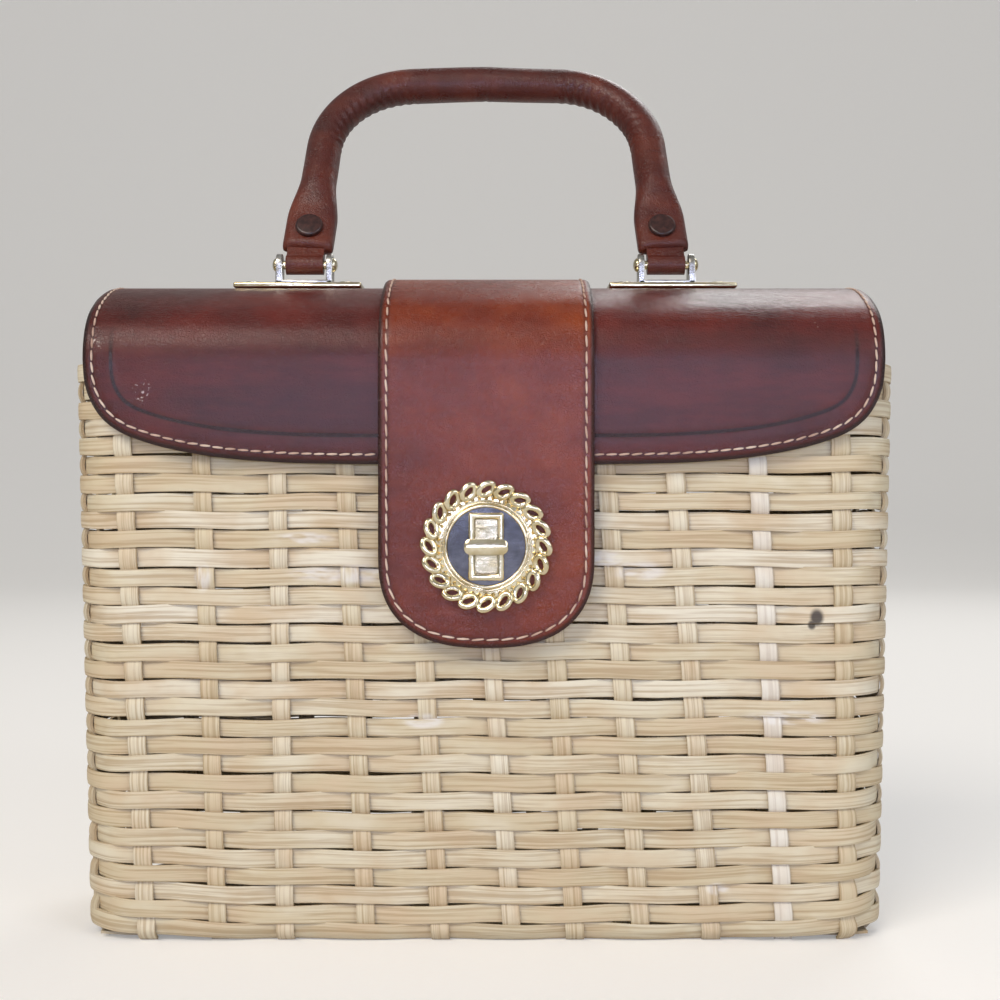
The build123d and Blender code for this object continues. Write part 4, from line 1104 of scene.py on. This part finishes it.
def arch_route():
    """The handle's line in its own plane: up one leg, round the bend and over the top to the middle."""
    leg = np.array([SHOULDER_HALF - HALF_PINS, SHOULDER_UP])
    leg_length = np.linalg.norm(leg)
    leg = leg / leg_length
    across = np.array([-SHOULDER_HALF, TOP_UP - SHOULDER_UP])
    across = across / np.linalg.norm(across)
    turn = math.acos(float(leg @ across))
    back = BEND * math.tan(turn / 2)
    corner = np.array([SHOULDER_HALF, SHOULDER_UP])
    start, end = corner - leg * back, corner + across * back
    middle = start + np.array([-leg[1], leg[0]]) * BEND
    points = [np.array([HALF_PINS, 0.0]) + leg * h for h in np.linspace(END_START, leg_length - back, 60)]
    first = math.atan2(*(start - middle)[::-1])
    points += [middle + BEND * np.array([math.cos(first + a), math.sin(first + a)])
               for a in np.linspace(0, turn, 26)[1:]]
    for share in np.linspace(0, 1, 30)[1:]:
        points.append(end + (np.array([0.0, TOP_UP]) - end) * share)
    return np.array(points)


half_route = arch_route()
route = np.vstack([half_route * (-1, 1), half_route[-2::-1]])
run = np.concatenate([[0], np.cumsum(np.linalg.norm(np.diff(route, axis=0), axis=1))])
along = np.linspace(0, run[-1], 420)
line = np.stack([np.interp(along, run, route[:, 0]), np.interp(along, run, route[:, 1])], axis=-1)
for _ in range(6):
    line[1:-1] = (line[:-2] + 2 * line[1:-1] + line[2:]) / 4
from_end = np.minimum(along, run[-1] - along) + END_START
print("handle length mm", round(run[-1], 1))

# %% [markdown]
# ## The handle's skin
# A tube from a curve would be evenly round, but this handle is flat at its ends, round along the arch,
# and pleated inside its bends, where the leather was pushed together. So a flat grid is wrapped round
# the line: its columns run along the handle, as the grain does, and its rows go round it.

# %% Handle skin
GRIP, GRIP_AROUND, END_ACROSS, END_THICK = 6.6, 41.5, 9.25, 3.7
flare = np.clip((from_end - 20) / 20, 0, 1)
flare = flare * flare * (3 - 2 * flare)
half_across = END_ACROSS + (GRIP - END_ACROSS) * flare
half_thick = END_THICK + (GRIP - END_THICK) * flare
round_end = np.sqrt(np.clip(1 - np.clip((9.0 - from_end) / 2.6, 0, 1) ** 2, 0.02, 1))
tangent = np.gradient(line, axis=0)
tangent /= np.linalg.norm(tangent, axis=1)[:, None]
normal = np.stack([tangent[:, 1], -tangent[:, 0]], axis=-1)
bend = np.abs(np.gradient(np.unwrap(np.arctan2(tangent[:, 1], tangent[:, 0]))))
bend = bend / bend.max()
turns = np.linspace(0, 2 * math.pi, 49)
skin = np.zeros((len(turns), len(along), 3))
for row, angle in enumerate(turns):
    power = 0.62 + 0.38 * flare
    out = np.sign(math.cos(angle)) * abs(math.cos(angle)) ** power * half_across * (0.94 + 0.06 * round_end)
    up = np.sign(math.sin(angle)) * abs(math.sin(angle)) ** power * half_thick * round_end
    inner = max(0.0, -math.cos(angle)) ** 1.5
    pleat = 0.28 * bend * inner * np.sin(along * 1.55 + 1.3 * math.sin(3 * angle))
    uneven = 0.1 * np.sin(along / 17 + 2 * angle) + 0.07 * np.sin(along / 7.3 - 3 * angle)
    scale = 1 + (pleat + uneven) / GRIP * flare
    place = line + normal * (-out * scale)[:, None]
    skin[row, :, 0] = place[:, 0]
    skin[row, :, 1] = place[:, 1] * math.sin(LEAN) - up * scale * math.cos(LEAN)
    skin[row, :, 2] = PIN_Z + place[:, 1] * math.cos(LEAN) + up * scale * math.sin(LEAN)
grip = grid_sheet("rolled_grip", skin, run[-1], GRIP_AROUND)
weld(grip)
only(grip)
bpy.ops.object.mode_set(mode="EDIT")
bpy.ops.mesh.select_all(action="SELECT")
bpy.ops.mesh.fill_holes(sides=0)
bpy.ops.object.mode_set(mode="OBJECT")
outwards(grip)
smooth(grip, 60)
dress(grip, handle_leather, "handle", "handle_grip", slot="handle_leather")

# %% [markdown]
# ## Rivet caps
# A rivet goes through each flattened end, with a domed cap on both faces. The caps were lacquered dark
# brown over brass and are rubbed. A short cylinder with a wide bevel gives the low dome.

# %% Rivet caps
def dark_cap_material():
    """Lacquered brass cap, dark brown and glossy, with rubbed spots."""
    material, tree, shader = new_material("lacquered_cap")
    coords = node(tree, "ShaderNodeTexCoord").outputs["Object"]
    rub = noise(tree, coords, 700.0, 4.0, 0.65)
    tree.links.new(ramp(tree, rub, ((0.4, "#2a1715"), (0.7, "#4a2c26"))), shader.inputs["Base Color"])
    shader.inputs["Roughness"].default_value = 0.28
    tree.links.new(bump(tree, rub, 0.0001, 0.5), shader.inputs["Normal"])
    return material


RIVET_UP, CAP_RADIUS, CAP_OUT = 15.0, 5.0, 4.4
dark_cap = dark_cap_material()
for side_name, side in (("left", -1), ("right", 1)):
    x = side * (HALF_PINS + (SHOULDER_HALF - HALF_PINS) * RIVET_UP / SHOULDER_UP)
    centre = Vector((x, RIVET_UP * math.sin(LEAN), PIN_Z + RIVET_UP * math.cos(LEAN))) * MM
    caps = []
    for face in (-1, 1):
        bpy.ops.object.select_all(action="DESELECT")
        bpy.ops.mesh.primitive_cylinder_add(vertices=40, radius=CAP_RADIUS * MM, depth=2.0 * MM)
        cap = bpy.context.object
        tilt = Matrix.Rotation(math.pi / 2 - LEAN if face < 0 else -math.pi / 2 - LEAN, 4, "X")
        cap.data.transform(Matrix.Translation(Vector((0, 0, CAP_OUT * MM))))
        cap.data.transform(Matrix.Translation(centre) @ tilt)
        apply_modifier(cap, "BEVEL", width=1.4 * MM, segments=5, limit_method="ANGLE")
        smooth(cap, 50)
        caps.append(cap)
    rivet = join(caps, "rivet_caps_" + side_name)
    dress(rivet, dark_cap, "handle", "handle_rivet_" + side_name, slot="dark_cap")

# %% [markdown]
# ## Plates, brackets and pins
# Each gilt plate is a thin stamped rectangle with sloped edges. Two ears stand on it and carry a pin
# with domed heads. The handle's leather loop hangs on the pin. An ear is a round disc whose lower half
# is drawn down to the plate, and a pin's head is a sphere pressed flat.

# %% Plates and brackets
def block(name, low, high, bevel, segments=3):
    """A block between two corners in metres, with softened edges."""
    bpy.ops.object.select_all(action="DESELECT")
    bpy.ops.mesh.primitive_cube_add(size=1)
    made = bpy.context.object
    made.name = name
    low, high = Vector(low), Vector(high)
    made.data.transform(Matrix.Translation((low + high) / 2) @ Matrix.Diagonal((*(high - low), 1)))
    apply_modifier(made, "BEVEL", width=bevel * MM, segments=segments, limit_method="ANGLE")
    smooth(made, 40)
    return made


EAR_RADIUS, EAR_THICK, EAR_OUT = 4.0, 2.2, 9.1
PIN_RADIUS, PIN_LENGTH, HEAD_FLAT = 1.6, 20.6, 1.5
for side_name in ("left", "right"):
    low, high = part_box("handle_plate_" + side_name)
    plate = block("gilt_plate_" + side_name, low, high, 0.7)
    dress(plate, gilt, "lid", "handle_plate_" + side_name, slot="gilt")
    low, high = (Vector(v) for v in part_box("pin_bracket_" + side_name))
    middle = (low.x + high.x) / 2
    shoes = [block("shoe", (low.x, low.y, low.z), (high.x, high.y, low.z + 1.2 * MM), 0.3)]
    for side in (-1, 1):
        bpy.ops.object.select_all(action="DESELECT")
        bpy.ops.mesh.primitive_cylinder_add(vertices=40, radius=EAR_RADIUS * MM, depth=EAR_THICK * MM)
        ear = bpy.context.object
        ear.data.transform(Matrix.Translation(Vector((middle + side * EAR_OUT * MM, 0, PIN_Z * MM)))
                           @ Matrix.Rotation(math.pi / 2, 4, "Y"))
        for vertex in ear.data.vertices:
            if vertex.co.z < PIN_Z * MM - 0.001 * MM:
                vertex.co.z = low.z
                if abs(vertex.co.y) > 0.65 * EAR_RADIUS * MM:
                    vertex.co.y = math.copysign(EAR_RADIUS * MM, vertex.co.y)
        apply_modifier(ear, "BEVEL", width=0.35 * MM, segments=3, limit_method="ANGLE")
        smooth(ear, 40)
        shoes.append(ear)
    bracket = join(shoes, "eared_bracket_" + side_name)
    dress(bracket, steel, "lid", "pin_bracket_" + side_name, slot="steel")
    heads = []
    bpy.ops.object.select_all(action="DESELECT")
    bpy.ops.mesh.primitive_cylinder_add(vertices=32, radius=PIN_RADIUS * MM, depth=PIN_LENGTH * MM)
    pin = bpy.context.object
    pin.data.transform(Matrix.Translation(Vector((middle, 0, PIN_Z * MM)))
                       @ Matrix.Rotation(math.pi / 2, 4, "Y"))
    smooth(pin, 50)
    heads.append(pin)
    for side in (-1, 1):
        bpy.ops.object.select_all(action="DESELECT")
        bpy.ops.mesh.primitive_uv_sphere_add(segments=28, ring_count=14, radius=1.0)
        head = bpy.context.object
        head.data.transform(Matrix.Translation(Vector((middle + side * PIN_LENGTH / 2 * MM, 0, PIN_Z * MM)))
                            @ Matrix.Diagonal((HEAD_FLAT * MM, PIN_HEAD * MM, PIN_HEAD * MM, 1)))
        smooth(head, 80)
        heads.append(head)
    pin = join(heads, "domed_pin_" + side_name)
    dress(pin, gilt, "lid", "handle_pin_" + side_name, slot="gilt")

# %% [markdown]
# ## Inner parts
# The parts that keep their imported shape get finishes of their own: steamed wood for the hoop and the
# frame, grey board, a woven cotton lining, and metal for hinges and rivets.

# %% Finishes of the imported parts
def wood_material():
    """Steamed ash: pale, with grain lines about 1.7 mm apart that run along X."""
    material, tree, shader = new_material("steamed_ash")
    coords = node(tree, "ShaderNodeTexCoord").outputs["Object"]
    lines = noise(tree, coords, 1.0, 4.0, 0.6, (12, 600, 600))
    tree.links.new(ramp(tree, lines, ((0.35, "#9b7c55"), (0.65, "#c4a67c"))), shader.inputs["Base Color"])
    shader.inputs["Roughness"].default_value = 0.6
    tree.links.new(bump(tree, lines, 0.0002, 0.5), shader.inputs["Normal"])
    return material


def cloth_material(name, pale, deep, thread_mm):
    """A plain woven or pulped surface with threads of a given size."""
    material, tree, shader = new_material(name)
    coords = node(tree, "ShaderNodeTexCoord").outputs["Object"]
    threads = node(tree, "ShaderNodeTexVoronoi", {"Scale": 1000 / thread_mm},
                   {"Vector": coords}).outputs["Distance"]
    cloud = ramp(tree, noise(tree, coords, 60.0, 4.0), ((0.3, deep), (0.7, pale)))
    colour = mix(tree, band(tree, threads, 0.2, 0.8, 0.0, 0.5), cloud, deep)
    tree.links.new(colour, shader.inputs["Base Color"])
    shader.inputs["Roughness"].default_value = 0.9
    tree.links.new(bump(tree, threads, 0.0002, 0.7), shader.inputs["Normal"])
    return material


finishes = {
    "wood": wood_material(), "board": cloth_material("grey_board", "#8f7d64", "#75654f", 1.2),
    "lining": cloth_material("cotton_lining", "#b89c74", "#97805c", 0.6),
    "gilt": gilt, "steel": steel, "dark_cap": dark_cap, "reed": reed,
    "lid_leather": end_leather, "tab_leather": end_leather, "handle_leather": handle_leather,
}
slot_of = {part["node"]: part["material_slot"] for part in frame["record"]["subparts"]}
for name, obj in frame["nodes"].items():
    finish = gilt if name == "lock_base_plate" else finishes[slot_of[name]]
    for place in obj.material_slots:
        place.material = finish
print("finished packed parts", len(frame["nodes"]))

# %% [markdown]
# ## Camera
# The photograph looks straight at the front from half a metre, at three quarters of the basket's
# height, so the camera does too. Its lens has the photograph's angle of view, about 37 degrees.

# %% Camera
CAMERA_ACROSS, CAMERA_AWAY, CAMERA_UP = 5.3, 545.0, 147.7
camera_data = bpy.data.cameras.new("camera")
camera = bpy.data.objects.new("camera", camera_data)
bpy.context.collection.objects.link(camera)
camera_data.lens = 54.0
camera_data.sensor_width = 36.0
camera.location = (CAMERA_ACROSS * MM, -CAMERA_AWAY * MM, CAMERA_UP * MM)
camera.rotation_euler = (math.radians(90), 0, 0)
bpy.context.scene.camera = camera
bpy.context.scene.view_settings.view_transform = "Standard"
print("camera at", [round(v, 4) for v in camera.location])

# %% [markdown]
# ## Floor and backdrop
# The floor and the wall behind are one pale sweep of paper. A plane's back edge is drawn up, and the
# fold is bevelled wide, so that no line shows behind the bag. The paper glows a little, but only for
# the camera, so it stays pale and throws no more light on the bag.

# %% Floor and backdrop
bpy.ops.object.select_all(action="DESELECT")
bpy.ops.mesh.primitive_plane_add(size=8)
floor = bpy.context.object
floor.name = "floor"
bpy.ops.object.mode_set(mode="EDIT")
work = bmesh.from_edit_mesh(floor.data)
for edge in work.edges:
    edge.select = all(v.co.y > 3.9 for v in edge.verts)
work.select_flush_mode()
bmesh.update_edit_mesh(floor.data)
bpy.ops.mesh.extrude_region_move(TRANSFORM_OT_translate={"value": (0, 0, 6)})
bpy.ops.object.mode_set(mode="OBJECT")
apply_modifier(floor, "BEVEL", width=2.0, segments=12, angle_limit=0.5)
smooth(floor)
paper, paper_tree, paper_shader = new_material("pale_paper_sweep")
grain_place = node(paper_tree, "ShaderNodeTexCoord").outputs["Object"]
paper_tone = mix(paper_tree, noise(paper_tree, grain_place, 400.0), "#dfddd9", "#e3e1dd")
paper_tree.links.new(paper_tone, paper_shader.inputs["Base Color"])
paper_shader.inputs["Roughness"].default_value = 0.9
paper_shader.inputs["Emission Color"].default_value = linear("#e6e4e0")
seen = node(paper_tree, "ShaderNodeLightPath").outputs["Is Camera Ray"]
glow = math_node(paper_tree, "MULTIPLY", seen, 0.32)
paper_tree.links.new(glow, paper_shader.inputs["Emission Strength"])
floor.data.materials.append(paper)
floor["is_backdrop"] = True
print("floor faces", len(floor.data.polygons))

# %% [markdown]
# ## Lights
# A warm key light stands high on the left, a weaker fill on the right, and a rim light behind. A long,
# low, cool light straight ahead makes the bluish gloss on the flap, as a window does. They are large,
# so the shadows are soft.

# %% Lights
def area_light(name, place, aim, size, power, colour):
    """A rectangular soft light at a place, turned to an aim."""
    data = bpy.data.lights.new(name, "AREA")
    data.shape = "RECTANGLE"
    data.size, data.size_y = size
    data.energy = power
    data.color = linear(colour)[:3]
    light = bpy.data.objects.new(name, data)
    bpy.context.collection.objects.link(light)
    light.location = place
    light.rotation_euler = (Vector(aim) - Vector(place)).to_track_quat("-Z", "Y").to_euler()
    return light


area_light("key", (-0.9, -1.5, 1.6), (0, 0, 0.14), (1.2, 1.0), 29, "#fff6ec")
area_light("fill", (1.3, -1.3, 0.9), (0, 0, 0.12), (1.0, 1.0), 9, "#eef3ff")
area_light("window_band", (0.05, -2.0, 0.32), (0, 0, 0.17), (1.2, 0.12), 10.5, "#c6d0ff")
area_light("rim", (0.6, 1.4, 1.5), (0, 0, 0.15), (1.0, 0.8), 10, "#ffffff")
world = bpy.data.worlds.new("studio")
bpy.context.scene.world = world
world.use_nodes = True
world.node_tree.nodes["Background"].inputs["Color"].default_value = linear("#e8e8e8")
world.node_tree.nodes["Background"].inputs["Strength"].default_value = 0.36
print("lights", [light.name for light in bpy.data.lights])

# %% [markdown]
# ## Finish
# The last cell measures the box round the dressed bag.

# %% Finish
low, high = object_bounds()
